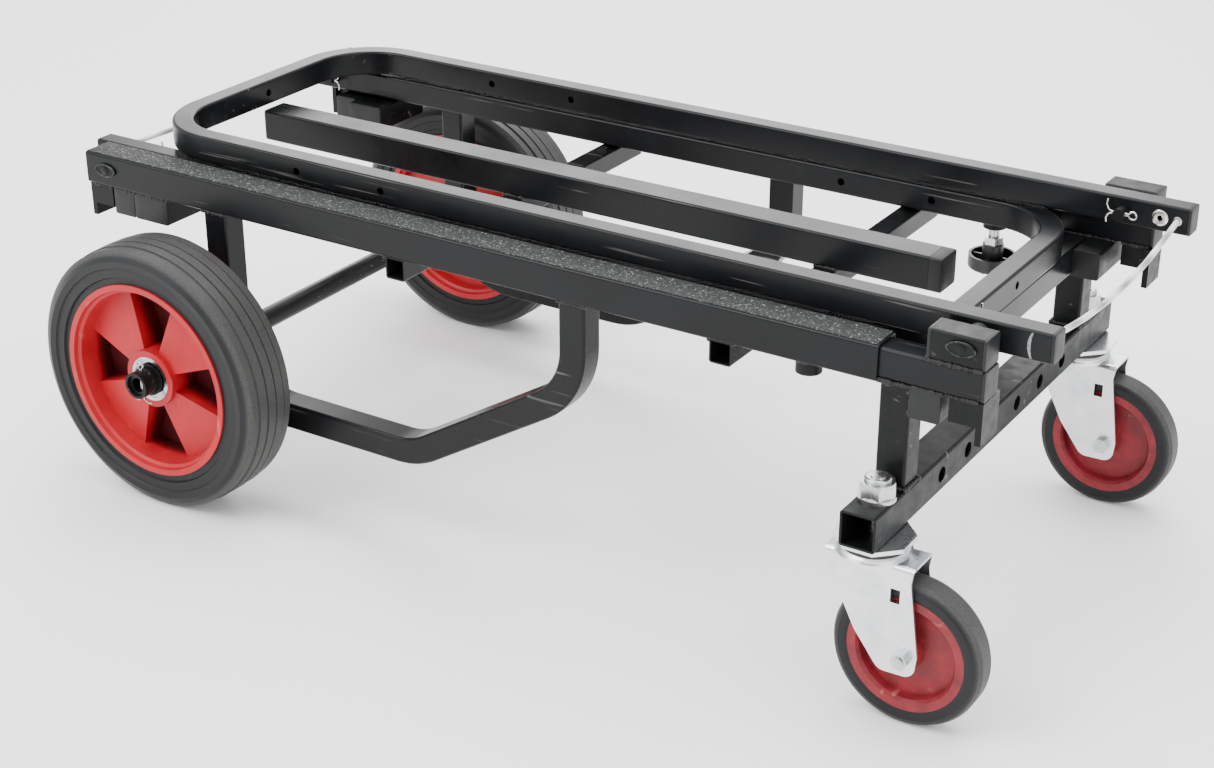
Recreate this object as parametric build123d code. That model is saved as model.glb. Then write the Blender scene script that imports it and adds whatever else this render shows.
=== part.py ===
from build123d import *
import math
import os

# Convertible hand truck, folded flat as a low four-wheeled platform. Millimetres.
# Written with X = 0 at the rear ends of the deck rails, +X towards the swivel casters,
# +Z up from the floor and Y = 0 in the middle. "Left" is +Y. Every piece is then moved
# along X so that the origin is the centre of the footprint on the floor.

# ---------------------------------------------------------------- driving dimensions
DECK_LENGTH = 804.5            # deck rail, end to end
DECK_HALF_WIDTH = 193.8        # to the outer face of a deck rail
DECK_BOTTOM = 268.0            # underside of the deck rails above the floor
RAIL = 30.0                    # deck rail, caster bar and centre rail square tube
RAIL_WALL = 2.0
SLIDE_TUBE = 25.0              # slide rail, post, block, stub and side frame tube
SLIDE_WALL = 2.0
TUBE_CORNER = 2.5              # outer corner radius of every square tube
SLIDE_REAR_X = 330.0           # rear end of a slide rail when pushed in
SLIDE_FRONT_X = DECK_LENGTH + 85.0  # front end of a slide rail when pushed in

HANDLE_WIDTH = 20.0            # handle tube, measured across the truck
HANDLE_HEIGHT = 24.0
HANDLE_WALL = 1.8
HANDLE_HALF_WIDTH = DECK_HALF_WIDTH - 34.8  # to the outer face of a handle leg
HANDLE_CORNER = 75.0           # outer radius of a handle's two bends
FRONT_HANDLE_BOTTOM = DECK_BOTTOM + RAIL + 0.4
FRONT_HANDLE_REAR_X = 34.9     # outer face of the front handle's cross piece
FRONT_HANDLE_END_X = DECK_LENGTH + 122.9  # plugged ends of its legs
FRONT_PIVOT_X = DECK_LENGTH + 64.5
REAR_HANDLE_BOTTOM = FRONT_HANDLE_BOTTOM - 2.4 - HANDLE_HEIGHT
REAR_HANDLE_FRONT_X = DECK_LENGTH + 30.0
REAR_HANDLE_END_X = -20.4
REAR_PIVOT_X = 24.0
PIVOT_RADIUS = 5.0
PIVOT_CLEARANCE = 0.08
PIVOT_SPACER_RADIUS = 9.0
PIN_OVERHANG = 13.0            # pin beyond the inner face of a leg
PIN_HEAD_HALF_LENGTH = 12.0
PIN_HEAD_HALF_HEIGHT = 5.5
PIN_HEAD_THICKNESS = 1.6
SPLIT_PIN_INSET = 4.5          # split pin's hole from the pivot pin's end
SPLIT_PIN_RADIUS = 1.6
SPLIT_EYE_RADIUS = 3.6
HANDLE_HOLE_RADIUS = 3.5
FRONT_HANDLE_HOLES = (187.0, 280.0)    # from the outer face of the cross piece
REAR_HANDLE_HOLES = (139.0, 228.0)
CABLE_RADIUS = 2.5
CABLE_INSET = 11.4             # cable hole from the leg's end
RIVET_INSET = 26.4             # hollow rivet from the leg's end
RIVET_RADIUS = 7.0
RIVET_HOLE_RADIUS = 2.0
RIVET_SHANK_RADIUS = 3.5
RIVET_HEAD = 1.2
EYELET_RADIUS = 4.2
EYELET_HEAD = 1.5

CENTRE_RAIL_REAR_X = 63.3
CENTRE_RAIL_FRONT_X = DECK_LENGTH - 41.5
PLUG_NOSE = 11.8               # the centre rail's front plug stands out this far
PLUG_FLANGE = 3.0
PLUG_DEPTH = 14.0
PLUG_CLEARANCE = 0.1
PLUG_CORNER = 1.2
TAPE_THICKNESS = 1.0
TAPE_MARGIN = 1.4
CROSS_TUBE = 20.0
CROSS_WALL = 1.5
CROSS_REAR_X = 343.0
CROSS_FRONT_X = DECK_LENGTH - 144.5
CROSS_INSET = 2.5              # cross-member end inside the rail's outer face

FRAME_FRONT_X = 531.2          # centre of the side frame's front leg
FRAME_REAR_X = 150.5           # centre of its rear post
FRAME_LOW_X = 364.0            # corner between its level and sloping parts
FRAME_KNEE_Z = 186.4           # corner between its sloping part and its front leg
FRAME_LEVEL_Z = 84.0
FRAME_BEND = 65.0              # centreline radius of every bend

WHEEL_RADIUS = 125.0
WHEEL_WIDTH = 62.0
WHEEL_OUTER_Y = DECK_HALF_WIDTH + 77.8
AXLE_X = 123.2
AXLE_RADIUS = 10.0
AXLE_BORE_RADIUS = AXLE_RADIUS - 3.0
BEARING_CLEARANCE = 0.06
RIM_RADIUS = 92.0
RIM_INNER_RADIUS = 80.0
HUB_RADIUS = 27.0
BEARING_RADIUS = 21.0
BEARING_WIDTH = 12.0
HUB_INSET = 9.0                # hub face inside the tyre's outer face
SPOKE_COUNT = 4
SPOKE_HALF_ANGLE = 26.0
SPOKE_BACK = 14.0              # inner ends of the spokes behind the wheel's middle
SPOKE_HUB_INSET = 5.0          # a spoke's front edge inside the hub face, at the hub
SPOKE_RIM_INSET = 12.0         # and at the rim
WEB_THICKNESS = 3.0            # disc that closes the windows at the back
RIM_LIP = 5.5
RIM_SLOPE = 6.0
RIM_EDGE_INSET = 2.0
TYRE_BEAD_INSET = 4.0
TREAD_GROOVE = 1.6
SHOULDER_DROP = 3.4
COLLAR_RADIUS = AXLE_RADIUS + 2.5
COLLAR_LENGTH = 16.0
COLLAR_PIN_RADIUS = 1.9
AXLE_END_INSET = 3.0
SPACER_RADIUS = AXLE_RADIUS + 4.0
WASHER_RADIUS = AXLE_RADIUS + 5.0
WASHER_THICKNESS = 2.0
BRACKET_RADIUS = 17.0
BRACKET_THICKNESS = 16.0

POST_X = DECK_LENGTH + 14.5  # centre of the front posts and of the caster bar
CASTER_BAR_TOP = 183.3
CASTER_BAR_HALF = DECK_HALF_WIDTH + 49.4
BAR_HOLE_RADIUS = 6.5
BAR_HOLE_PITCH = 50.0
BAR_HOLE_COUNT = 6
CASTER_Y = DECK_HALF_WIDTH + 17.7
CASTER_RADIUS = 62.5
CASTER_WIDTH = 27.0
CASTER_RIM_RADIUS = 49.0
CASTER_TRAIL = 36.4
STEM_RADIUS = 6.0
STEM_CLEARANCE = 0.08
STEM_HEAD_RADIUS = 9.0
STEM_HEAD_HEIGHT = 3.0
STEM_ABOVE_NUT = 4.5
CROWN_DOME = 4.0
CASTER_AXLE_RADIUS = 4.0
FORK_HALF_WIDTH = 17.5
FORK_SHEET = 2.5
# side view of the fork below its crown, from the stem's axis: (along x, above the floor)
FORK_LEG = ((48.6, 66.0), (46.5, 47.2), (17.0, 46.6), (-5.0, 76.0))
FORK_REAR_X = -33.0
FORK_FRONT_X = 42.0
FORK_LIP_X = 40.0
FORK_LIP_HEIGHT = 13.0
FORK_LOW_FILLET = 10.0
FORK_SLOT_X = 27.6
FORK_SLOT_Z = 114.6
FORK_SLOT_LENGTH = 8.0
FORK_SLOT_HEIGHT = 12.0
NUT_FLATS = 26.0
NUT_HEIGHT = 15.0
NUT_FLANGE_RADIUS = 15.0
NUT_FLANGE_HEIGHT = 3.0
NUT_COLLAR_RADIUS = 10.5
NUT_COLLAR_HEIGHT = 3.5
SMALL_NUT_RADIUS = 7.5
TOP_PLATE_FLATS = 60.0
TOP_PLATE_THICKNESS = 3.5
SEAL_RADIUS = 27.0
SEAL_HEIGHT = 4.5
RUNNING_GAP = 0.4

STUB_LENGTH = 59.0
STOP_PLATE_THICKNESS = 5.0
STOP_PLATE_BOTTOM = 236.0
STOP_PLATE_INNER_Y = DECK_HALF_WIDTH - 32.8
LATCH_LENGTH = 22.0
LATCH_HEIGHT = 20.0
REST_WIDTH = 40.0
REST_LENGTH = 70.0
REAR_STUB_X = 30.0             # rear face of the rear stubs
BLOCK_LENGTH = 47.0
BLOCK_FRONT_INSET = 1.0
BLOCK_PLUG_DEPTH = 9.0

KNOB_X = DECK_LENGTH - 63.5
KNOB_RADIUS = 21.5
KNOB_HEIGHT = 13.0
KNOB_BOTTOM = 217.0
KNOB_HUB_RADIUS = 9.5
KNOB_HUB_HEIGHT = 10.0
STUD_RADIUS = 5.0
STUD_CLEARANCE = 0.08
BOSS_RADIUS = 10.5
BOSS_HEIGHT = 12.0

# ---------------------------------------------------------------- derived sizes
DECK_TOP = DECK_BOTTOM + RAIL
RAIL_Y = DECK_HALF_WIDTH - RAIL / 2
RAIL_Z = DECK_BOTTOM + RAIL / 2
SLIDE_OUTER_Y = RAIL_Y + SLIDE_TUBE / 2
SLIDE_INNER_Y = RAIL_Y - SLIDE_TUBE / 2
SLIDE_BOTTOM = RAIL_Z - SLIDE_TUBE / 2
SLIDE_TOP = RAIL_Z + SLIDE_TUBE / 2
LEG_Y = HANDLE_HALF_WIDTH - HANDLE_WIDTH / 2
LEG_INNER_Y = HANDLE_HALF_WIDTH - HANDLE_WIDTH
FRONT_PIVOT_Z = FRONT_HANDLE_BOTTOM + HANDLE_HEIGHT / 2
REAR_PIVOT_Z = REAR_HANDLE_BOTTOM + HANDLE_HEIGHT / 2
STUB_FRONT_X = POST_X + SLIDE_TUBE / 2
BAR_BOTTOM = CASTER_BAR_TOP - RAIL
SEAL_TOP = BAR_BOTTOM - TOP_PLATE_THICKNESS
CROWN_TOP = SEAL_TOP - SEAL_HEIGHT - RUNNING_GAP
CASTER_AXLE_X = POST_X + CASTER_TRAIL
WHEEL_CENTRE_Y = WHEEL_OUTER_Y - WHEEL_WIDTH / 2
COLLAR_Y = WHEEL_OUTER_Y - HUB_INSET + RUNNING_GAP + WASHER_THICKNESS + COLLAR_LENGTH / 2
FOOTPRINT_CENTRE_X = (FRONT_HANDLE_END_X + REAR_HANDLE_END_X) / 2
AXIS_PLANES = {"X": Plane.YZ, "Y": Plane.XZ, "Z": Plane.XY}
SIDES = {"left": 1, "right": -1}


# ---------------------------------------------------------------- shared shapes
def block(x0, x1, y0, y1, z0, z1):
    """Plain block between two opposite corners."""
    return Pos((x0 + x1) / 2, (y0 + y1) / 2, (z0 + z1) / 2) * Box(x1 - x0, y1 - y0, z1 - z0)


def rod(axis, radius, length):
    """Round bar along an axis, centred on the origin."""
    return extrude(AXIS_PLANES[axis] * Circle(radius), amount=length / 2, both=True)


def ring(axis, outer, inner, length):
    """Round bush along an axis, centred on the origin."""
    return rod(axis, outer, length) - rod(axis, inner, length * 2)


def tube_face(width, height, wall, corner=TUBE_CORNER):
    """Cross-section of a rectangular tube with rounded corners."""
    inner = RectangleRounded(width - 2 * wall, height - 2 * wall, max(corner - wall, 0.5))
    return RectangleRounded(width, height, corner) - inner


def tube(axis, length, width, height, wall):
    """Rectangular tube along an axis, centred on the origin."""
    face = AXIS_PLANES[axis] * tube_face(width, height, wall)
    return extrude(face, amount=length / 2, both=True)


def plug(axis, width, height, wall, direction, nose=PLUG_FLANGE, depth=PLUG_DEPTH):
    """End plug: its nose starts at the origin and runs along direction, its body runs back."""
    plane = AXIS_PLANES[axis]
    sign = direction if plane.z_dir.dot(Vector(1, 1, 1)) > 0 else -direction
    cap = extrude(plane * RectangleRounded(width, height, TUBE_CORNER), amount=sign * nose)
    inside = 2 * (wall + PLUG_CLEARANCE)
    body_face = RectangleRounded(width - inside, height - inside, PLUG_CORNER)
    return cap + extrude(plane * body_face, amount=-sign * depth)


def both_sides(make):
    """Left and right copies of a piece, as separate solids."""
    return [make(1), make(-1)]


def swept(points, radius, face_of):
    """Outer sweep less inner sweep along straight runs joined by tangent arcs."""
    path = FilletPolyline(*points, radius=radius)
    start = Plane(origin=path @ 0, x_dir=(0, 1, 0) if points[0][0] == points[1][0] else (0, 0, 1),
                  z_dir=path % 0)
    outer, inner = face_of
    return sweep(start * outer, path) - sweep(start * inner, path)


# ---------------------------------------------------------------- deck and side frames
def deck_rail(side):
    """Deck rail with the pivot pin's hole and, under it, the clamp stud's hole."""
    body = Pos(DECK_LENGTH / 2, 0, 0) * tube("X", DECK_LENGTH, RAIL, RAIL, RAIL_WALL)
    body = Pos(0, side * RAIL_Y, RAIL_Z) * body
    body -= Pos(REAR_PIVOT_X, side * RAIL_Y, REAR_PIVOT_Z) * rod("Y", PIVOT_RADIUS, RAIL * 2)
    hole = rod("Z", STUD_RADIUS + 1, RAIL_WALL * 4)
    return body - Pos(KNOB_X, side * RAIL_Y, DECK_BOTTOM) * hole


def grip_tape(side):
    """Anti-slip strip on top of a deck rail."""
    strip = Box(DECK_LENGTH - 2 * TAPE_MARGIN, RAIL - 2 * TAPE_MARGIN, TAPE_THICKNESS)
    return Pos(DECK_LENGTH / 2, side * RAIL_Y, DECK_TOP + TAPE_THICKNESS / 2) * strip


def cross_member(x0):
    """Small tube across the truck, under both deck rails and the centre rail."""
    length = 2 * (DECK_HALF_WIDTH - CROSS_INSET)
    body = tube("Y", length, CROSS_TUBE, CROSS_TUBE, CROSS_WALL)
    return Pos(x0 + CROSS_TUBE / 2, 0, DECK_BOTTOM - CROSS_TUBE / 2) * body


def centre_rail():
    """Load rail lying on the two cross-members."""
    length = CENTRE_RAIL_FRONT_X - CENTRE_RAIL_REAR_X
    body = tube("X", length, RAIL, RAIL, RAIL_WALL)
    return Pos((CENTRE_RAIL_FRONT_X + CENTRE_RAIL_REAR_X) / 2, 0, RAIL_Z) * body


def side_frame(side):
    """Bent square tube: front leg, slope, level run under the axle and rear post."""
    points = [(FRAME_FRONT_X, 0, DECK_BOTTOM), (FRAME_FRONT_X, 0, FRAME_KNEE_Z),
              (FRAME_LOW_X, 0, FRAME_LEVEL_Z), (FRAME_REAR_X, 0, FRAME_LEVEL_Z),
              (FRAME_REAR_X, 0, DECK_BOTTOM)]
    inside = SLIDE_TUBE - 2 * SLIDE_WALL
    faces = (RectangleRounded(SLIDE_TUBE, SLIDE_TUBE, TUBE_CORNER),
             RectangleRounded(inside, inside, TUBE_CORNER - SLIDE_WALL))
    return Pos(0, side * RAIL_Y, 0) * swept(points, FRAME_BEND, faces)


def axle_bracket(side):
    """Welded lug that holds the axle behind the rear post."""
    post_face = FRAME_REAR_X - SLIDE_TUBE / 2
    half = BRACKET_THICKNESS / 2
    lug = block(AXLE_X, post_face, -half, half, WHEEL_RADIUS - BRACKET_RADIUS,
                WHEEL_RADIUS + BRACKET_RADIUS)
    lug += Pos(AXLE_X, 0, WHEEL_RADIUS) * rod("Y", BRACKET_RADIUS, BRACKET_THICKNESS)
    lug -= Pos(AXLE_X, 0, WHEEL_RADIUS) * rod("Y", AXLE_RADIUS, 2 * BRACKET_THICKNESS)
    return Pos(0, side * RAIL_Y, 0) * lug


def rear_stub(side):
    """Short tube that the rear handle's leg stops against."""
    centre_y = SLIDE_OUTER_Y - STUB_LENGTH / 2
    body = tube("Y", STUB_LENGTH, SLIDE_TUBE, SLIDE_TUBE, SLIDE_WALL)
    z = DECK_BOTTOM - SLIDE_TUBE / 2
    return Pos(REAR_STUB_X + SLIDE_TUBE / 2, side * centre_y, z) * body


def rear_rest(side):
    """Wider tube beside the rear stub, under the rear handle's leg."""
    centre_y = SLIDE_OUTER_Y - REST_LENGTH / 2
    body = tube("Y", REST_LENGTH, REST_WIDTH, SLIDE_TUBE, SLIDE_WALL)
    x = REAR_STUB_X + SLIDE_TUBE + REST_WIDTH / 2
    return Pos(x, side * centre_y, DECK_BOTTOM - SLIDE_TUBE / 2) * body


def tube_caps(x, z, width, length, side):
    """Two end plugs of a short tube that runs across the truck."""
    caps = []
    for y, direction in ((SLIDE_OUTER_Y, 1), (SLIDE_OUTER_Y - length, -1)):
        cap = plug("Y", width, SLIDE_TUBE, SLIDE_WALL, side * direction, nose=1.6)
        caps.append(Pos(x, side * y, z) * cap)
    return caps


def frame_caps():
    """Plastic plugs of the deck rails, the centre rail, the rear stubs and the rests."""
    caps = []
    for side in SIDES.values():
        rail_cap = plug("X", RAIL, RAIL, RAIL_WALL, -1, nose=0.8)
        caps.append(Pos(0, side * RAIL_Y, RAIL_Z) * rail_cap)
        z = DECK_BOTTOM - SLIDE_TUBE / 2
        caps += tube_caps(REAR_STUB_X + SLIDE_TUBE / 2, z, SLIDE_TUBE, STUB_LENGTH, side)
        rest_x = REAR_STUB_X + SLIDE_TUBE + REST_WIDTH / 2
        caps += tube_caps(rest_x, z, REST_WIDTH, REST_LENGTH, side)
    front = plug("X", RAIL, RAIL, RAIL_WALL, 1, nose=PLUG_NOSE)
    rear = plug("X", RAIL, RAIL, RAIL_WALL, -1)
    caps.append(Pos(CENTRE_RAIL_FRONT_X, 0, RAIL_Z) * front)
    caps.append(Pos(CENTRE_RAIL_REAR_X, 0, RAIL_Z) * rear)
    return caps


def latch_block(side, x0, z_top):
    """Small block under a rail's end that carries the stop plate."""
    return block(x0, x0 + LATCH_LENGTH, side * RAIL_Y - SLIDE_TUBE / 2,
                 side * RAIL_Y + SLIDE_TUBE / 2, z_top - LATCH_HEIGHT, z_top)


def stop_plate(side, x0, z_top):
    """Flat plate hanging across the end of a rail."""
    y0, y1 = sorted((side * STOP_PLATE_INNER_Y, side * SLIDE_OUTER_Y))
    return block(x0, x0 + STOP_PLATE_THICKNESS, y0, y1, STOP_PLATE_BOTTOM, z_top)


# ---------------------------------------------------------------- handles
def handle(cross_x, end_x, bottom, pivot_x, holes):
    """U-shaped handle lying flat: two legs joined by a cross piece at cross_x."""
    inward = 1 if end_x > cross_x else -1
    centre_z = bottom + HANDLE_HEIGHT / 2
    cross_centre = cross_x + inward * HANDLE_WIDTH / 2
    leg_end = end_x - inward * PLUG_FLANGE
    points = [(leg_end, LEG_Y, centre_z), (cross_centre, LEG_Y, centre_z),
              (cross_centre, -LEG_Y, centre_z), (leg_end, -LEG_Y, centre_z)]
    inner = RectangleRounded(HANDLE_HEIGHT - 2 * HANDLE_WALL, HANDLE_WIDTH - 2 * HANDLE_WALL, 1.0)
    faces = (RectangleRounded(HANDLE_HEIGHT, HANDLE_WIDTH, TUBE_CORNER), inner)
    body = swept(points, HANDLE_CORNER - HANDLE_WIDTH / 2, faces)
    through = 2 * HANDLE_HALF_WIDTH + HANDLE_WIDTH
    for distance in holes:
        x = cross_x + inward * distance
        body -= Pos(x, 0, centre_z) * rod("Y", HANDLE_HOLE_RADIUS, through)
    body -= Pos(cross_centre, 0, centre_z) * rod("X", HANDLE_HOLE_RADIUS, HANDLE_WIDTH * 2)
    body -= Pos(pivot_x, 0, centre_z) * rod("Y", PIVOT_RADIUS + PIVOT_CLEARANCE, through)
    for side in SIDES.values():
        rivet = Pos(end_x - inward * RIVET_INSET, side * LEG_INNER_Y, centre_z)
        body -= rivet * rod("Y", RIVET_SHANK_RADIUS, HANDLE_WALL * 4)
        eyelet = Pos(end_x - inward * CABLE_INSET, side * LEG_INNER_Y, centre_z)
        body -= eyelet * rod("Y", CABLE_RADIUS + 0.6, HANDLE_WALL * 4)
    return body


def handle_plugs(end_x, bottom, inward):
    """Plastic plugs in the ends of a handle's two legs."""
    plugs = []
    for side in SIDES.values():
        piece = plug("X", HANDLE_WIDTH, HANDLE_HEIGHT, HANDLE_WALL, inward)
        place = Pos(end_x - inward * PLUG_FLANGE, side * LEG_Y, bottom + HANDLE_HEIGHT / 2)
        plugs.append(place * piece)
    return plugs


def handle_eyelets(end_x, bottom, inward):
    """Hollow rivet and, nearer the end, the cable's eyelet in each leg's inner wall."""
    pieces = []
    z = bottom + HANDLE_HEIGHT / 2
    for side in SIDES.values():
        shank = ring("Y", RIVET_SHANK_RADIUS, RIVET_HOLE_RADIUS, 2 * HANDLE_WALL)
        head = ring("Y", RIVET_RADIUS, RIVET_HOLE_RADIUS, RIVET_HEAD)
        rivet = shank + Pos(0, -side * RIVET_HEAD / 2, 0) * head
        pieces.append(Pos(end_x - inward * RIVET_INSET, side * LEG_INNER_Y, z) * rivet)
        lip = ring("Y", EYELET_RADIUS, CABLE_RADIUS, EYELET_HEAD)
        lip_y = side * (LEG_INNER_Y - EYELET_HEAD / 2)
        pieces.append(Pos(end_x - inward * CABLE_INSET, lip_y, z) * lip)
    return pieces


def cable(route):
    """Round cable along straight runs joined by the largest tangent arcs they allow."""
    radii = []
    for before, corner, after in zip(route, route[1:], route[2:]):
        run_in = Vector(*corner) - Vector(*before)
        run_out = Vector(*after) - Vector(*corner)
        turn = math.radians(run_in.get_angle(run_out))
        radii.append(0.45 * min(run_in.length, run_out.length) / math.tan(turn / 2))
    path = FilletPolyline(*route, radius=radii)
    return sweep(Plane(origin=path @ 0, z_dir=path % 0) * Circle(CABLE_RADIUS), path)


def cable_route(end_x, bottom, inward, sags):
    """Points across the truck from one leg to the other: (share of the half gap, sag)."""
    x = end_x - inward * CABLE_INSET
    z = bottom + HANDLE_HEIGHT / 2
    half_gap = LEG_INNER_Y
    return [(x + forward, share * half_gap, z - sag) for share, forward, sag in sags]


def pivot_pin(x, z, side, outer_y):
    """Pivot pin with a low oval head on the outer face and a cross hole for its split pin."""
    inner_y = LEG_INNER_Y - PIN_OVERHANG
    length = outer_y - inner_y
    pin = Pos(0, (outer_y + inner_y) / 2, 0) * rod("Y", PIVOT_RADIUS, length)
    oval = Ellipse(PIN_HEAD_HALF_LENGTH, PIN_HEAD_HALF_HEIGHT)
    head = extrude(Plane.XZ * oval, amount=-PIN_HEAD_THICKNESS)
    pin += Pos(0, outer_y, 0) * head
    hole = rod("X", SPLIT_PIN_RADIUS + 0.1, 4 * PIVOT_RADIUS)
    pin -= Pos(0, inner_y + SPLIT_PIN_INSET, 0) * hole
    piece = pin if side > 0 else mirror(pin, about=Plane.XZ)
    return Pos(x, 0, z) * piece


def split_pin(x, z, side, towards):
    """Split pin through the pivot pin: a round eye at one side and two spread legs."""
    reach = PIVOT_RADIUS + 3.0
    shank = rod("X", SPLIT_PIN_RADIUS, 2 * reach)
    eye = Rot(90, 0, 0) * Torus(SPLIT_EYE_RADIUS, 1.2)
    eye = Pos(towards * (reach + SPLIT_EYE_RADIUS), 0, 0) * eye
    upper = Pos(-towards * reach, 0, 5.0) * rod("Z", 1.4, 11.0)
    lower = Pos(-towards * reach, 0, -6.0) * rod("Z", 1.4, 13.0)
    y = side * (LEG_INNER_Y - PIN_OVERHANG + SPLIT_PIN_INSET)
    return Pos(x, y, z) * (shank + eye + upper + lower)


# ---------------------------------------------------------------- front carriage
def slide_rail(side):
    """Square tube that slides inside a deck rail."""
    length = SLIDE_FRONT_X - PLUG_FLANGE - SLIDE_REAR_X
    body = tube("X", length, SLIDE_TUBE, SLIDE_TUBE, SLIDE_WALL)
    return Pos(SLIDE_REAR_X + length / 2, side * RAIL_Y, RAIL_Z) * body


def pivot_block(side):
    """Short tube on a slide rail's front end that carries the front handle's pin."""
    length = BLOCK_LENGTH - 2 * PLUG_FLANGE
    body = tube("X", length, SLIDE_TUBE, SLIDE_TUBE, SLIDE_WALL)
    x = SLIDE_FRONT_X - BLOCK_FRONT_INSET - BLOCK_LENGTH / 2
    body = Pos(x, side * RAIL_Y, SLIDE_TOP + SLIDE_TUBE / 2) * body
    hole = rod("Y", PIVOT_RADIUS, SLIDE_TUBE * 2)
    return body - Pos(FRONT_PIVOT_X, side * RAIL_Y, FRONT_PIVOT_Z) * hole


def carriage_caps():
    """Plastic plugs of the slide rails, the pivot blocks and the front stubs."""
    caps = []
    for side in SIDES.values():
        front = plug("X", SLIDE_TUBE, SLIDE_TUBE, SLIDE_WALL, 1)
        caps.append(Pos(SLIDE_FRONT_X - PLUG_FLANGE, side * RAIL_Y, RAIL_Z) * front)
        block_front = SLIDE_FRONT_X - BLOCK_FRONT_INSET
        for x, direction in ((block_front, 1), (block_front - BLOCK_LENGTH, -1)):
            cap = plug("X", SLIDE_TUBE, SLIDE_TUBE, SLIDE_WALL, direction,
                       depth=BLOCK_PLUG_DEPTH)
            place = Pos(x - direction * PLUG_FLANGE, side * RAIL_Y, SLIDE_TOP + SLIDE_TUBE / 2)
            caps.append(place * cap)
        stub_z = SLIDE_BOTTOM - SLIDE_TUBE / 2
        caps += tube_caps(STUB_FRONT_X + SLIDE_TUBE / 2, stub_z, SLIDE_TUBE, STUB_LENGTH, side)
    return caps


def front_post(side):
    """Upright between a slide rail and the caster bar."""
    length = SLIDE_BOTTOM - CASTER_BAR_TOP
    body = tube("Z", length, SLIDE_TUBE, SLIDE_TUBE, SLIDE_WALL)
    return Pos(POST_X, side * RAIL_Y, CASTER_BAR_TOP + length / 2) * body


def front_cross_member():
    """Tube between the two posts, just under the rear handle's cross piece."""
    body = tube("Y", 2 * SLIDE_INNER_Y, SLIDE_TUBE, SLIDE_TUBE, SLIDE_WALL)
    return Pos(POST_X, 0, SLIDE_BOTTOM - SLIDE_TUBE / 2) * body


def caster_bar():
    """Open-ended square tube with a row of holes and one bolt hole at each end."""
    body = Pos(POST_X, 0, CASTER_BAR_TOP - RAIL / 2)
    body = body * tube("Y", 2 * CASTER_BAR_HALF, RAIL, RAIL, RAIL_WALL)
    for index in range(BAR_HOLE_COUNT):
        y = (index - (BAR_HOLE_COUNT - 1) / 2) * BAR_HOLE_PITCH
        hole = rod("X", BAR_HOLE_RADIUS, RAIL * 2)
        body -= Pos(POST_X, y, CASTER_BAR_TOP - RAIL / 2) * hole
    for side in SIDES.values():
        body -= Pos(POST_X, side * CASTER_Y, BAR_BOTTOM) * rod("Z", STEM_RADIUS, RAIL * 4)
    return body


def front_stub(side):
    """Short tube in front of a post that the front handle's leg stops against."""
    centre_y = SLIDE_OUTER_Y - STUB_LENGTH / 2
    body = tube("Y", STUB_LENGTH, SLIDE_TUBE, SLIDE_TUBE, SLIDE_WALL)
    z = SLIDE_BOTTOM - SLIDE_TUBE / 2
    return Pos(STUB_FRONT_X + SLIDE_TUBE / 2, side * centre_y, z) * body


def pivot_spacer(side):
    """Bush between a pivot block and the front handle's leg."""
    outer_y = SLIDE_INNER_Y
    inner_y = HANDLE_HALF_WIDTH + RUNNING_GAP
    piece = ring("Y", PIVOT_SPACER_RADIUS, PIVOT_RADIUS, outer_y - inner_y)
    return Pos(FRONT_PIVOT_X, side * (outer_y + inner_y) / 2, FRONT_PIVOT_Z) * piece


def caster_nut():
    """Lock nut with a round flange below and a domed collar on top."""
    height = NUT_HEIGHT
    corner_radius = NUT_FLATS / math.sqrt(3)
    hexagon = extrude(RegularPolygon(corner_radius, 6), amount=height)
    flange = extrude(Circle(NUT_FLANGE_RADIUS), amount=NUT_FLANGE_HEIGHT)
    collar = extrude(Circle(NUT_COLLAR_RADIUS), amount=height + NUT_COLLAR_HEIGHT)
    collar = fillet(collar.faces().sort_by(Axis.Z)[-1].edges(), radius=2.0)
    body = hexagon & Cone(corner_radius + 3.2, corner_radius - 1.4, height, align=(
        Align.CENTER, Align.CENTER, Align.MIN))
    return body + flange + collar - rod("Z", STEM_RADIUS, 200)


def caster_stem():
    """Bolt through the caster bar; its round head lies inside the fork's crown."""
    top = CASTER_BAR_TOP + NUT_HEIGHT + STEM_ABOVE_NUT
    shank = Pos(0, 0, (top + CROWN_TOP) / 2) * rod("Z", STEM_RADIUS, top - CROWN_TOP)
    lower = CROWN_TOP - CROWN_DOME - FORK_SHEET - RUNNING_GAP
    shank += Pos(0, 0, (CROWN_TOP + lower) / 2) * rod("Z", STEM_RADIUS, CROWN_TOP - lower)
    head = rod("Z", STEM_HEAD_RADIUS, STEM_HEAD_HEIGHT)
    return shank + Pos(0, 0, lower - STEM_HEAD_HEIGHT / 2) * head


def top_plate():
    """Eight-sided plate under the caster bar."""
    face = RegularPolygon(TOP_PLATE_FLATS / 2 / math.cos(math.pi / 8), 8, rotation=22.5)
    return extrude(face - Circle(STEM_RADIUS), amount=TOP_PLATE_THICKNESS)


# ---------------------------------------------------------------- wheels and casters
def revolved(points):
    """Solid of revolution about Y from (y, radius) points."""
    outline = Polyline(*[(0, y, radius) for y, radius in points], close=True)
    return revolve(make_face(outline), axis=Axis.Y, revolution_arc=360)


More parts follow.
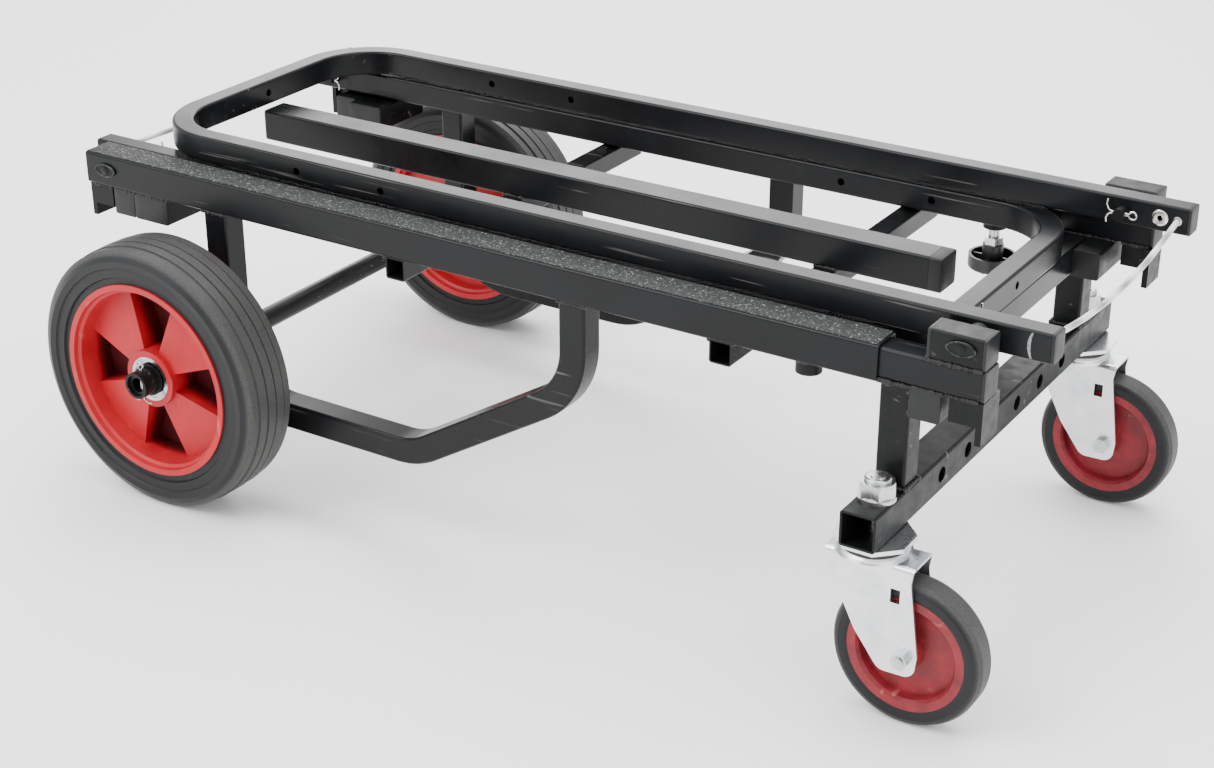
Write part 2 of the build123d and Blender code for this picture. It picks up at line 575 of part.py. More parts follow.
def tyre():
    """Solid rubber tyre: grooved tread and stepped side walls; outer side is +Y."""
    half = WHEEL_WIDTH / 2
    shoulder = WHEEL_RADIUS - 5.0
    points = [(-half + TYRE_BEAD_INSET, RIM_RADIUS)]
    side_steps = ((4.0, RIM_RADIUS + 6), (2.0, RIM_RADIUS + 7), (2.0, RIM_RADIUS + 15),
                  (0.6, RIM_RADIUS + 16), (0.0, RIM_RADIUS + 22), (2.6, shoulder - 1.5))
    points += [(-half + inset, radius) for inset, radius in side_steps]
    ribs = ((-25.0, -17.5, 1.4), (-15.5, -6.5, 0.3), (-4.5, 4.5, 0.0), (6.5, 15.5, 0.3),
            (17.5, 25.0, 1.4))
    points.append((ribs[0][0] - TREAD_GROOVE, WHEEL_RADIUS - SHOULDER_DROP))
    for start, end, drop in ribs:
        top = WHEEL_RADIUS - drop
        points += [(start, top), (end, top)]
        if end != ribs[-1][1]:
            points += [(end + 0.5, top - TREAD_GROOVE), (end + 1.5, top - TREAD_GROOVE)]
    points.append((ribs[-1][1] + TREAD_GROOVE, WHEEL_RADIUS - SHOULDER_DROP))
    points += [(half - inset, radius) for inset, radius in reversed(side_steps)]
    points.append((half - TYRE_BEAD_INSET, RIM_RADIUS))
    return revolved(points)


def hub():
    """Plastic wheel centre: lipped rim, four wedge spokes on a web and a bored hub."""
    half = WHEEL_WIDTH / 2
    edge = half - RIM_EDGE_INSET
    slope = half - RIM_SLOPE
    rim_half = [(edge, RIM_RADIUS), (edge, RIM_RADIUS - RIM_LIP),
                (slope, RIM_RADIUS - RIM_LIP - 1), (slope - 2, RIM_INNER_RADIUS + 3),
                (slope - 20, RIM_INNER_RADIUS)]
    rim = revolved(rim_half + [(-y, radius) for y, radius in reversed(rim_half)])
    web = Pos(0, -SPOKE_BACK + WEB_THICKNESS / 2, 0) * ring(
        "Y", RIM_INNER_RADIUS + 2, HUB_RADIUS - 3, WEB_THICKNESS)
    hub_half = half - HUB_INSET
    barrel = ring("Y", HUB_RADIUS, BEARING_RADIUS, 2 * hub_half)
    inside = ring("Y", HUB_RADIUS - 2, AXLE_RADIUS + 4, 2 * (hub_half - BEARING_WIDTH))
    spokes = []
    outline = [(-SPOKE_BACK, HUB_RADIUS - 3), (hub_half - SPOKE_HUB_INSET, HUB_RADIUS - 3),
               (hub_half - SPOKE_RIM_INSET, RIM_INNER_RADIUS + 2),
               (-SPOKE_BACK, RIM_INNER_RADIUS + 2)]
    wedge_face = make_face(Polyline(*[(0, y, radius) for y, radius in outline], close=True))
    wedge = revolve(wedge_face, axis=Axis.Y, revolution_arc=2 * SPOKE_HALF_ANGLE)
    for index in range(SPOKE_COUNT):
        turn = index * 360 / SPOKE_COUNT + 180 / SPOKE_COUNT - SPOKE_HALF_ANGLE
        spokes.append(Rot(0, turn, 0) * wedge)
    body = rim + barrel + inside + web
    for spoke in spokes:
        body += spoke
    return body


def bearings():
    """Outer and inner bearing of a wheel, as two solids."""
    hub_half = WHEEL_WIDTH / 2 - HUB_INSET
    centre = hub_half - BEARING_WIDTH / 2
    body = ring("Y", BEARING_RADIUS, AXLE_RADIUS + BEARING_CLEARANCE, BEARING_WIDTH)
    recess = ring("Y", BEARING_RADIUS - 3, AXLE_RADIUS + 3, 2.0)
    pieces = []
    for sign in (1, -1):
        piece = body - Pos(0, sign * BEARING_WIDTH / 2, 0) * recess
        pieces.append(Pos(0, sign * centre, 0) * piece)
    return pieces


def caster_tyre():
    """Plain rubber caster tyre."""
    half = CASTER_WIDTH / 2
    return revolved([(-half + 1, CASTER_RIM_RADIUS), (-half, CASTER_RIM_RADIUS + 3),
                     (-half, CASTER_RADIUS - 6), (-half + 2.2, CASTER_RADIUS - 2),
                     (-half + 6, CASTER_RADIUS), (half - 6, CASTER_RADIUS),
                     (half - 2.2, CASTER_RADIUS - 2), (half, CASTER_RADIUS - 6),
                     (half, CASTER_RIM_RADIUS + 3), (half - 1, CASTER_RIM_RADIUS)])


def caster_wheel():
    """Plastic caster wheel: rim band, recessed disc and raised hub with a bore."""
    half = CASTER_WIDTH / 2
    bore = CASTER_AXLE_RADIUS + BEARING_CLEARANCE
    return revolved([(-half, bore), (-half, 9.0), (-half + 1, 11.0), (-4.0, 13.0),
                     (-3.0, CASTER_RIM_RADIUS - 10), (-half + 4, CASTER_RIM_RADIUS - 9),
                     (-half + 1, CASTER_RIM_RADIUS - 7), (-half + 1, CASTER_RIM_RADIUS),
                     (half - 1, CASTER_RIM_RADIUS), (half - 1, CASTER_RIM_RADIUS - 7),
                     (half - 4, CASTER_RIM_RADIUS - 9), (3.0, CASTER_RIM_RADIUS - 10),
                     (4.0, 13.0), (half - 1, 11.0), (half, 9.0), (half, bore)])


def caster_fork():
    """Pressed fork: crown, two tapering legs with a slot, and a raised round seat."""
    crown = CROWN_TOP - CROWN_DOME
    outline = [(FORK_REAR_X, crown), (FORK_FRONT_X, crown), (FORK_LIP_X, crown - FORK_LIP_HEIGHT)]
    outline += [*FORK_LEG, (FORK_REAR_X + 2, crown - FORK_LIP_HEIGHT)]
    face = make_face(Polyline(*[(x, 0, z) for x, z in outline], close=True))
    shell = extrude(face, amount=FORK_HALF_WIDTH, both=True)
    low_edges = shell.edges().filter_by(Axis.Y).sort_by(Axis.Z)[:2]
    shell = fillet(low_edges, radius=FORK_LOW_FILLET)
    top_edges = shell.faces().sort_by(Axis.Z)[-1].edges().filter_by(Axis.X)
    shell = fillet(top_edges, radius=5.0)
    inside = FORK_HALF_WIDTH - FORK_SHEET
    shell -= block(-100, 100, -inside, inside, 0, crown - FORK_SHEET)
    seat = Pos(0, 0, crown - FORK_SHEET) * extrude(Circle(SEAL_RADIUS + 3), amount=FORK_SHEET)
    seat += Pos(0, 0, crown) * extrude(Circle(SEAL_RADIUS + 1), amount=CROWN_DOME)
    seat = chamfer(seat.faces().sort_by(Axis.Z)[-1].edges(), length=2.0)
    body = shell + seat
    body -= rod("Z", STEM_RADIUS + STEM_CLEARANCE, 1000)
    slot = Box(FORK_SLOT_LENGTH, 4 * FORK_HALF_WIDTH, FORK_SLOT_HEIGHT)
    body -= Pos(FORK_SLOT_X, 0, FORK_SLOT_Z) * slot
    axle_hole = rod("Y", CASTER_AXLE_RADIUS, 4 * FORK_HALF_WIDTH)
    return body - Pos(CASTER_TRAIL, 0, CASTER_RADIUS) * axle_hole


def caster_axle_bolt(side):
    """Axle bolt, its nut and two washer bushes beside the wheel, as separate solids."""
    length = 2 * FORK_HALF_WIDTH + 12
    bolt = Pos(0, -2.0, 0) * rod("Y", CASTER_AXLE_RADIUS, length)
    head = extrude(Plane.XZ * RegularPolygon(SMALL_NUT_RADIUS, 6), amount=-5.5)
    bolt += Pos(0, FORK_HALF_WIDTH, 0) * head
    bolt -= block(-9, 9, FORK_HALF_WIDTH + 5.5, 60, -9, 9)
    nut = extrude(Plane.XZ * RegularPolygon(SMALL_NUT_RADIUS, 6), amount=6.5) - rod("Y", 4.0, 40)
    nut = Pos(0, -FORK_HALF_WIDTH, 0) * nut
    gap = (FORK_HALF_WIDTH - FORK_SHEET) - CASTER_WIDTH / 2 - RUNNING_GAP
    bush = ring("Y", 7.0, CASTER_AXLE_RADIUS, gap)
    offset = FORK_HALF_WIDTH - FORK_SHEET - gap / 2
    pieces = [bolt, nut, Pos(0, offset, 0) * bush, Pos(0, -offset, 0) * bush]
    if side > 0:
        pieces = [mirror(piece, about=Plane.XZ) for piece in pieces]
    return pieces


# ---------------------------------------------------------------- axle and clamp knob
def axle_hardware():
    """Per side: inner spacer, outer washer and end collar on the axle."""
    hub_half = WHEEL_WIDTH / 2 - HUB_INSET
    inner_face = WHEEL_CENTRE_Y - hub_half
    outer_face = WHEEL_CENTRE_Y + hub_half
    spacer_start = RAIL_Y + BRACKET_THICKNESS / 2
    pieces = []
    for side in SIDES.values():
        span = inner_face - RUNNING_GAP - spacer_start
        spacer = ring("Y", SPACER_RADIUS, AXLE_RADIUS, span)
        washer = ring("Y", WASHER_RADIUS, AXLE_RADIUS, WASHER_THICKNESS)
        collar = ring("Y", COLLAR_RADIUS, AXLE_RADIUS, COLLAR_LENGTH)
        collar -= rod("Z", COLLAR_PIN_RADIUS, 4 * COLLAR_RADIUS)
        for piece, y in ((spacer, spacer_start + span / 2),
                         (washer, outer_face + RUNNING_GAP + WASHER_THICKNESS / 2),
                         (collar, COLLAR_Y)):
            pieces.append(Pos(AXLE_X, side * y, WHEEL_RADIUS) * piece)
    return pieces


def axle():
    """Round tube right across the truck, bored at both ends for the split pins."""
    half = COLLAR_Y + COLLAR_LENGTH / 2 - AXLE_END_INSET
    body = ring("Y", AXLE_RADIUS, AXLE_BORE_RADIUS, 2 * half)
    for side in SIDES.values():
        body -= Pos(0, side * COLLAR_Y, 0) * rod("Z", COLLAR_PIN_RADIUS, 4 * COLLAR_RADIUS)
    return Pos(AXLE_X, 0, WHEEL_RADIUS) * body


def axle_split_pin(side):
    """Split pin through a collar and the axle, with its eye on top."""
    reach = COLLAR_RADIUS + 3.0
    pin = rod("Z", COLLAR_PIN_RADIUS - 0.1, 2 * reach)
    eye = Pos(0, 0, reach + 3.4) * (Rot(90, 0, 0) * Torus(3.4, 1.3))
    leg = Pos(3.5, 0, -reach + 1.0) * rod("X", 1.2, 8.0)
    return Pos(AXLE_X, side * COLLAR_Y, WHEEL_RADIUS) * (pin + eye + leg)


def clamp_boss(side):
    """Threaded boss welded under a deck rail; the right one is closed."""
    bore = STUD_RADIUS + STUD_CLEARANCE if side > 0 else 0.0
    body = rod("Z", BOSS_RADIUS, BOSS_HEIGHT)
    if bore:
        body -= rod("Z", bore, BOSS_HEIGHT * 2)
    return Pos(KNOB_X, side * RAIL_Y, DECK_BOTTOM - BOSS_HEIGHT / 2) * body


def clamp_stud():
    """Stud of the clamp knob with its lock nut; it presses up against the slide rail."""
    bottom = KNOB_BOTTOM + 4.0
    top = SLIDE_BOTTOM - RUNNING_GAP
    stud = Pos(0, 0, (bottom + top) / 2) * rod("Z", STUD_RADIUS, top - bottom)
    nut_bottom = KNOB_BOTTOM + KNOB_HEIGHT + KNOB_HUB_HEIGHT
    stud += Pos(0, 0, nut_bottom) * extrude(RegularPolygon(9.0, 6), amount=7.0)
    return Pos(KNOB_X, RAIL_Y, 0) * stud


def clamp_knob():
    """Round plastic knob: thin-walled cup with four ribs and a raised hub."""
    cup = Cylinder(KNOB_RADIUS, KNOB_HEIGHT, align=(Align.CENTER, Align.CENTER, Align.MIN))
    cup = fillet(cup.faces().sort_by(Axis.Z)[0].edges(), radius=3.0)
    cup -= Pos(0, 0, 3.0) * extrude(Circle(KNOB_RADIUS - 2.5), amount=KNOB_HEIGHT)
    cup += extrude(Circle(KNOB_HUB_RADIUS), amount=KNOB_HEIGHT + KNOB_HUB_HEIGHT)
    for angle in (0, 90):
        rib = Box(2 * KNOB_RADIUS - 3, 2.5, KNOB_HEIGHT - 2, align=(
            Align.CENTER, Align.CENTER, Align.MIN))
        cup += Rot(0, 0, angle) * rib
    cup -= Pos(0, 0, 4.0) * extrude(Circle(STUD_RADIUS), amount=60)
    return Pos(KNOB_X, RAIL_Y, KNOB_BOTTOM) * cup


# ---------------------------------------------------------------- the whole truck
def deck_nodes():
    """Fixed structure: rails, side frames, axle and everything welded to them."""
    nodes = {}
    for name, side in SIDES.items():
        nodes["deck_rail_" + name] = [deck_rail(side)]
        nodes["side_frame_" + name] = [side_frame(side)]
    nodes["grip_tapes"] = both_sides(grip_tape)
    nodes["deck_cross_members"] = [cross_member(CROSS_REAR_X), cross_member(CROSS_FRONT_X)]
    nodes["centre_rail"] = [centre_rail()]
    nodes["frame_caps"] = frame_caps()
    nodes["axle"] = [axle()]
    nodes["axle_brackets"] = both_sides(axle_bracket)
    nodes["axle_collars"] = axle_hardware()
    nodes["axle_split_pins"] = both_sides(axle_split_pin)
    nodes["rear_stop_stubs"] = both_sides(rear_stub)
    nodes["rear_handle_rests"] = both_sides(rear_rest)
    rear_latch_x = STOP_PLATE_THICKNESS
    nodes["rear_latch_blocks"] = both_sides(
        lambda side: latch_block(side, rear_latch_x, DECK_BOTTOM))
    nodes["rear_stop_plates"] = both_sides(lambda side: stop_plate(side, 0, DECK_BOTTOM))
    nodes["clamp_bosses"] = both_sides(clamp_boss)
    return nodes


def rear_handle_nodes():
    """Rear handle with its plugs, rivets, pins and release cable."""
    end_x = REAR_HANDLE_END_X
    bottom = REAR_HANDLE_BOTTOM
    outer_y = DECK_HALF_WIDTH
    sags = ((1.0 - EYELET_HEAD / LEG_INNER_Y, 0, 0.0), (0.66, -2.0, 2.6), (0.33, -3.4, 4.4),
            (-0.02, -4.0, 5.0), (-0.36, -3.2, 4.2), (-0.69, -1.8, 2.4),
            (-1.0 + EYELET_HEAD / LEG_INNER_Y, 0, 0.0))
    return {
        "rear_handle": [handle(REAR_HANDLE_FRONT_X, end_x, bottom, REAR_PIVOT_X,
                               REAR_HANDLE_HOLES)],
        "rear_handle_plugs": handle_plugs(end_x, bottom, -1),
        "rear_handle_eyelets": handle_eyelets(end_x, bottom, -1),
        "rear_release_cable": [cable(cable_route(end_x, bottom, -1, sags))],
        "rear_pivot_pins": both_sides(
            lambda side: pivot_pin(REAR_PIVOT_X, REAR_PIVOT_Z, side, outer_y)),
        "rear_split_pins": both_sides(
            lambda side: split_pin(REAR_PIVOT_X, REAR_PIVOT_Z, side, -1)),
    }


def carriage_nodes():
    """Sliding front carriage with the caster bar and the front handle's blocks."""
    nodes = {}
    for name, side in SIDES.items():
        nodes["slide_rail_" + name] = [slide_rail(side)]
    nodes["pivot_blocks"] = both_sides(pivot_block)
    nodes["carriage_caps"] = carriage_caps()
    nodes["front_posts"] = both_sides(front_post)
    nodes["front_cross_member"] = [front_cross_member()]
    nodes["caster_bar"] = [caster_bar()]
    nodes["front_stop_stubs"] = both_sides(front_stub)
    latch_x = SLIDE_FRONT_X - STOP_PLATE_THICKNESS - LATCH_LENGTH
    nodes["front_latch_blocks"] = both_sides(
        lambda side: latch_block(side, latch_x, SLIDE_BOTTOM))
    plate_x = SLIDE_FRONT_X - STOP_PLATE_THICKNESS
    nodes["front_stop_plates"] = both_sides(lambda side: stop_plate(side, plate_x, SLIDE_BOTTOM))
    nodes["front_pivot_pins"] = both_sides(
        lambda side: pivot_pin(FRONT_PIVOT_X, FRONT_PIVOT_Z, side, SLIDE_OUTER_Y))
    nodes["front_split_pins"] = both_sides(
        lambda side: split_pin(FRONT_PIVOT_X, FRONT_PIVOT_Z, side, 1))
    nodes["front_pivot_spacers"] = both_sides(pivot_spacer)
    at_caster = [Pos(POST_X, side * CASTER_Y, 0) for side in SIDES.values()]
    nodes["caster_nuts"] = [place * Pos(0, 0, CASTER_BAR_TOP) * caster_nut()
                            for place in at_caster]
    nodes["caster_stems"] = [place * caster_stem() for place in at_caster]
    nodes["caster_top_plates"] = [place * Pos(0, 0, SEAL_TOP) * top_plate()
                                  for place in at_caster]
    seal = ring("Z", SEAL_RADIUS, STEM_RADIUS, SEAL_HEIGHT)
    nodes["caster_seals"] = [place * Pos(0, 0, SEAL_TOP - SEAL_HEIGHT / 2) * seal
                             for place in at_caster]
    return nodes


def front_handle_nodes():
    """Front handle with its plugs, rivets and sagging release cable."""
    end_x = FRONT_HANDLE_END_X
    bottom = FRONT_HANDLE_BOTTOM
    sags = ((1.0 - EYELET_HEAD / LEG_INNER_Y, 0, 0.0), (0.67, 0.8, 7.2), (0.34, 1.4, 11.6),
            (0.0, 1.6, 13.2), (-0.34, 1.3, 11.2), (-0.68, 0.6, 6.8),
            (-1.0 + EYELET_HEAD / LEG_INNER_Y, 0, 0.0))
    return {
        "front_handle": [handle(FRONT_HANDLE_REAR_X, end_x, bottom, FRONT_PIVOT_X,
                                FRONT_HANDLE_HOLES)],
        "front_handle_plugs": handle_plugs(end_x, bottom, 1),
        "front_handle_eyelets": handle_eyelets(end_x, bottom, 1),
        "front_release_cable": [cable(cable_route(end_x, bottom, 1, sags))],
    }


def wheel_nodes():
    """Two large wheels, two swivel casters and the clamp knob."""
    nodes = {}
    wheel_place = Pos(AXLE_X, WHEEL_CENTRE_Y, WHEEL_RADIUS)
    for name, side in SIDES.items():
        for part_name, pieces in (("tyre_", [tyre()]), ("wheel_hub_", [hub()]),
                                  ("wheel_bearings_", bearings())):
            placed = [wheel_place * piece for piece in pieces]
            if side < 0:
                placed = [mirror(piece, about=Plane.XZ) for piece in placed]
            nodes[part_name + name] = placed
        stem = Pos(POST_X, side * CASTER_Y, 0)
        caster_axle = stem * Pos(CASTER_TRAIL, 0, CASTER_RADIUS)
        nodes["caster_fork_" + name] = [stem * caster_fork()]
        bolts = caster_axle_bolt(side)
        nodes["caster_axle_bolt_" + name] = [caster_axle * piece for piece in bolts]
        nodes["caster_tyre_" + name] = [caster_axle * caster_tyre()]
        nodes["caster_wheel_" + name] = [caster_axle * caster_wheel()]
    nodes["clamp_knob"] = [clamp_knob()]
    nodes["clamp_stud"] = [clamp_stud()]
    return nodes


def write_nodes(nodes):
    """Write one STEP file per node, moved so that the origin is the footprint's centre."""
    os.makedirs("parts", exist_ok=True)
    for name, pieces in nodes.items():
        placed = [Pos(-FOOTPRINT_CENTRE_X, 0, 0) * piece for piece in pieces]
        solids = [solid for piece in placed for solid in piece.solids()]
        export_step(Compound(children=solids), "parts/" + name + ".step")


for group in (deck_nodes, rear_handle_nodes, carriage_nodes, front_handle_nodes, wheel_nodes):
    write_nodes(group())
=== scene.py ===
"""Looks of the convertible hand truck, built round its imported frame.

Sizes are in millimetres in the truck's own coordinates: x = 0 at the rear ends of the deck
rails and rising towards the swivel casters, y = 0 in the middle, z = 0 on the floor.
"""
import logging
import math
from dataclasses import dataclass
from enum import Enum
from typing import Any, Iterable, Sequence

import bmesh
import bpy
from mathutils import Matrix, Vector


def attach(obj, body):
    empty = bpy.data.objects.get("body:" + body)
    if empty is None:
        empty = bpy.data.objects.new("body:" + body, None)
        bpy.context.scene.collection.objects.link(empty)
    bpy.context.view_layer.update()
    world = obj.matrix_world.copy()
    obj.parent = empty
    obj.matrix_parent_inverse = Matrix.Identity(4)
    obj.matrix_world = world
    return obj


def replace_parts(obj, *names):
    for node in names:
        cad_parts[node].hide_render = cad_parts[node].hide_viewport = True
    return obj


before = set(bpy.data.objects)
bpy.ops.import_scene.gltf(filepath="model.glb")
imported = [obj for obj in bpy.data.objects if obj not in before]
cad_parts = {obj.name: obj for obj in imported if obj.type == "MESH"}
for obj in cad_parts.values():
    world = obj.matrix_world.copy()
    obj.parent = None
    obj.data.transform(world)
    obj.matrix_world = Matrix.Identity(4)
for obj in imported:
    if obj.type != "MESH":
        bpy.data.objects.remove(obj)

log = logging.getLogger("hand_truck")
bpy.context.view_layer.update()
FOOTPRINT_CENTRE_X = 453.5     # truck x of the frame's origin
MM = 0.001
TURN = 2 * math.pi
RAIL_Y = 178.8                 # middle of a deck rail and of a slide rail
RAIL = 30.0                    # deck rail and centre rail tube
TUBE = 25.0                    # slide rail, post, block, stub and frame tube
LEG_WIDTH = 20.0               # handle tube, across the truck
LEG_HEIGHT = 24.0
LEG_INNER_Y = 139.0            # inner face of a handle leg
FRONT_PIVOT = (869.0, 310.4)   # x and z of the front handle's pivots
REAR_PIVOT = (24.0, 284.0)     # x and z of the rear handle's pivots
AXLE = (123.2, 125.0)          # x and z of the rear axle
PATTERN_LOW, PATTERN_HIGH = 0.3, 0.7      # the range that a noise pattern mostly keeps to
COAT_ROUGHNESS = 0.12
SMOOTH_ANGLE = math.radians(35.0)         # edges sharper than this stay sharp

Tree = bpy.types.NodeTree
Socket = bpy.types.NodeSocket
Point = Sequence[float]
Stops = tuple[tuple[float, str], ...]     # (place, hex colour) pairs
Line = list[Vector]                       # points in metres


class Side(Enum):
    """The two sides of the truck, as the sign of y."""

    LEFT = 1
    RIGHT = -1


def at(x: float, y: float, z: float) -> Vector:
    """Point of the frame, in metres, for a point of the truck, in millimetres."""
    return Vector(((x - FOOTPRINT_CENTRE_X) * MM, y * MM, z * MM))


def per_metre(size_mm: float) -> float:
    """Texture scale whose features are about size_mm across."""
    return 1.0 / (size_mm * MM)


def linear(hex_colour: str) -> tuple[float, float, float, float]:
    """Linear RGBA of an sRGB hex colour such as "#1A1B1D"."""
    parts = [int(hex_colour[i:i + 2], 16) / 255 for i in (1, 3, 5)]
    rgb = [p / 12.92 if p <= 0.04045 else ((p + 0.055) / 1.055) ** 2.4 for p in parts]
    return (rgb[0], rgb[1], rgb[2], 1.0)


def add(tree: Tree, kind: str, settings: dict[Any, Any] | None = None,
        links: dict[Any, Socket] | None = None) -> bpy.types.Node:
    """Adds a node with its settings and links.

    Args:
        tree: the node tree it goes in.
        kind: the node's type name.
        settings: lower-case names are the node's own options, "stops" a ramp's
            (place, hex colour) pairs, and anything else an input's value.
        links: input name or number to the output that feeds it.

    Returns:
        The new node.
    """
    node = tree.nodes.new(kind)
    for key, value in (settings or {}).items():
        if key == "stops":
            ramp = node.color_ramp.elements
            while len(ramp) < len(value):
                ramp.new(0.5)
            for element, (place, colour) in zip(ramp, value):
                element.position = place
                element.color = linear(colour)
        elif isinstance(key, str) and key[0].islower():
            setattr(node, key, value)
        else:
            node.inputs[key].default_value = value
    for key, source in (links or {}).items():
        tree.links.new(source, node.inputs[key])
    return node


def new_thing(name: str, data: bpy.types.ID) -> bpy.types.Object:
    """New object in the scene, at the origin, that shows data."""
    thing = bpy.data.objects.new(name, data)
    bpy.context.scene.collection.objects.link(thing)
    return thing


# ------------------------------------------------------------------------- finishes
@dataclass
class Surface:
    """A material in the making: its tree and what its patterns give so far."""

    tree: Tree
    place: Socket                  # the point on the piece
    colour: Socket
    height: Socket                 # of the bump

    def lay(self, hex_colour: str, *masks: Socket | float) -> None:
        """Lays a colour over the surface, as far as all the masks let it show.

        Args:
            hex_colour: the colour.
            masks: the sockets or numbers whose product is its share.
        """
        share = masks[0]
        for mask in masks[1:]:
            fixed = isinstance(mask, float)
            share = add(self.tree, "ShaderNodeMath",
                        {"operation": "MULTIPLY"} | ({1: mask} if fixed else {}),
                        {0: share} | ({} if fixed else {1: mask})).outputs[0]
        self.colour = add(self.tree, "ShaderNodeMix", {
            "data_type": "RGBA", 7: linear(hex_colour)},
            {0: share, 6: self.colour}).outputs[2]


@dataclass(frozen=True)
class Finish:
    """A surface finish: a base shader whose colour, roughness and bump come from patterns.

    Args:
        name: the material's name, after the real material.
        slot: the name of the part's material slot; not used.
        colours: stops of the colour over its broad variation.
        broad_mm: size of the broad variation.
        roughness: lowest and highest roughness over the broad variation.
        fine_mm: size of the fine pattern.
        bump_mm: height of the fine pattern.
        bump: strength of the bump, 0 to 1.
        metallic: 1 for bare metal.
        ior: refractive index; a metal keeps the default.
        coat: strength of a clear coat.
        specular: strength of the mirror-like reflection; 0.5 is the plain dielectric.
    """

    name: str
    slot: str
    colours: Stops
    broad_mm: float
    roughness: tuple[float, float]
    fine_mm: float
    bump_mm: float
    bump: float
    metallic: float = 0.0
    ior: float = 1.5
    coat: float = 0.0
    specular: float = 0.5

    def material(self) -> bpy.types.Material:
        """The finish's material, built the first time it is asked for."""
        known = bpy.data.materials.get(self.name)
        return known if known else self.build()

    def build(self) -> bpy.types.Material:
        """Builds the shader: coordinates, broad and fine patterns, colour and bump.

        Returns:
            The new material.
        """
        material = bpy.data.materials.new(self.name)
        material.use_nodes = True
        tree = material.node_tree
        tree.nodes.clear()
        place = add(tree, "ShaderNodeTexCoord").outputs["Object"]
        broad, fine = (add(tree, "ShaderNodeTexNoise", {
            "Scale": per_metre(size), "Detail": octaves, "Roughness": weight},
            {"Vector": place}).outputs["Fac"] for size, octaves, weight in (
                (self.broad_mm, 4.0, 0.6), (self.fine_mm, 3.0, 0.55)))
        colour = add(tree, "ShaderNodeValToRGB", {"stops": self.colours},
                     {"Fac": broad}).outputs["Color"]
        surface = Surface(tree, place, colour, fine)
        self.detail(surface)
        rough = add(tree, "ShaderNodeMapRange", {
            "From Min": PATTERN_LOW, "From Max": PATTERN_HIGH, "To Min": self.roughness[0],
            "To Max": self.roughness[1]}, {"Value": broad}).outputs[0]
        normal = add(tree, "ShaderNodeBump", {
            "Strength": self.bump, "Distance": self.bump_mm * MM},
            {"Height": surface.height}).outputs[0]
        shader = add(tree, "ShaderNodeBsdfPrincipled", {
            "Metallic": self.metallic, "IOR": self.ior, "Coat Weight": self.coat,
            "Coat Roughness": COAT_ROUGHNESS, "Specular IOR Level": self.specular,
        }, {"Base Color": surface.colour, "Roughness": rough, "Normal": normal}).outputs[0]
        add(tree, "ShaderNodeOutputMaterial", links={"Surface": shader})
        return material

    def detail(self, surface: Surface) -> None:
        """Adds what a finish has of its own; the plain one adds nothing."""


@dataclass(frozen=True)
class ScratchedFinish(Finish):
    """A finish with fine handling scratches in a second colour.

    Args:
        scratch_colour: colour of a scratch.
        scratch_share: 0 for none, up to about 0.5.
        scratch_stretch: scale of the scratch pattern along x, y and z.
        patch_mm: size of the patches that hold scratches.
        line_range: the pattern's values between which a scratch fades in.
        patch_range: the same for a patch.
    """

    scratch_colour: str = "#8C8B88"
    scratch_share: float = 0.25
    scratch_stretch: tuple[float, float, float] = (6.0, 260.0, 260.0)
    patch_mm: float = 60.0
    line_range: tuple[float, float] = (0.66, 0.72)
    patch_range: tuple[float, float] = (0.5, 0.62)

    def detail(self, surface: Surface) -> None:
        """Scratches: long thin noise, kept only in scattered patches.

        Args:
            surface: the material so far, changed in place.
        """
        tree = surface.tree
        along = add(tree, "ShaderNodeMapping", {"Scale": self.scratch_stretch},
                    {"Vector": surface.place}).outputs[0]
        lines = add(tree, "ShaderNodeTexNoise", {"Scale": 1.0, "Detail": 2.0},
                    {"Vector": along}).outputs["Fac"]
        patches = add(tree, "ShaderNodeTexNoise", {
            "Scale": per_metre(self.patch_mm), "Detail": 2.0},
            {"Vector": surface.place}).outputs["Fac"]
        thin = add(tree, "ShaderNodeMapRange", {
            "From Min": self.line_range[0], "From Max": self.line_range[1]},
            {"Value": lines}).outputs[0]
        some = add(tree, "ShaderNodeMapRange", {
            "From Min": self.patch_range[0], "From Max": self.patch_range[1],
            "To Max": self.scratch_share}, {"Value": patches}).outputs[0]
        surface.lay(self.scratch_colour, thin, some)


@dataclass(frozen=True)
class SpeckledFinish(Finish):
    """A finish of separate grains in a second colour, such as mineral grit.

    Args:
        grain_mm: size of a grain.
        grain_colours: colour stops over the grains.
        grain_share: how much of the colour is the grains'.
    """

    grain_mm: float = 1.2
    grain_colours: Stops = ((0.0, "#1C1E1D"), (1.0, "#6E716C"))
    grain_share: float = 0.75

    def detail(self, surface: Surface) -> None:
        """Grains: one random value per cell, for its colour and its height.

        Args:
            surface: the material so far, changed in place.
        """
        tree = surface.tree
        cells = add(tree, "ShaderNodeTexVoronoi", {"Scale": per_metre(self.grain_mm)},
                    {"Vector": surface.place})
        value = add(tree, "ShaderNodeSeparateColor", links={"Color": cells.outputs["Color"]})
        grain = add(tree, "ShaderNodeValToRGB", {"stops": self.grain_colours},
                    {"Fac": value.outputs[0]}).outputs["Color"]
        surface.colour = add(tree, "ShaderNodeMix", {"data_type": "RGBA", 0: self.grain_share},
                             {6: surface.colour, 7: grain}).outputs[2]
        surface.height = add(tree, "ShaderNodeMath", {"operation": "SUBTRACT"}, {
            0: value.outputs[1], 1: cells.outputs["Distance"]}).outputs[0]


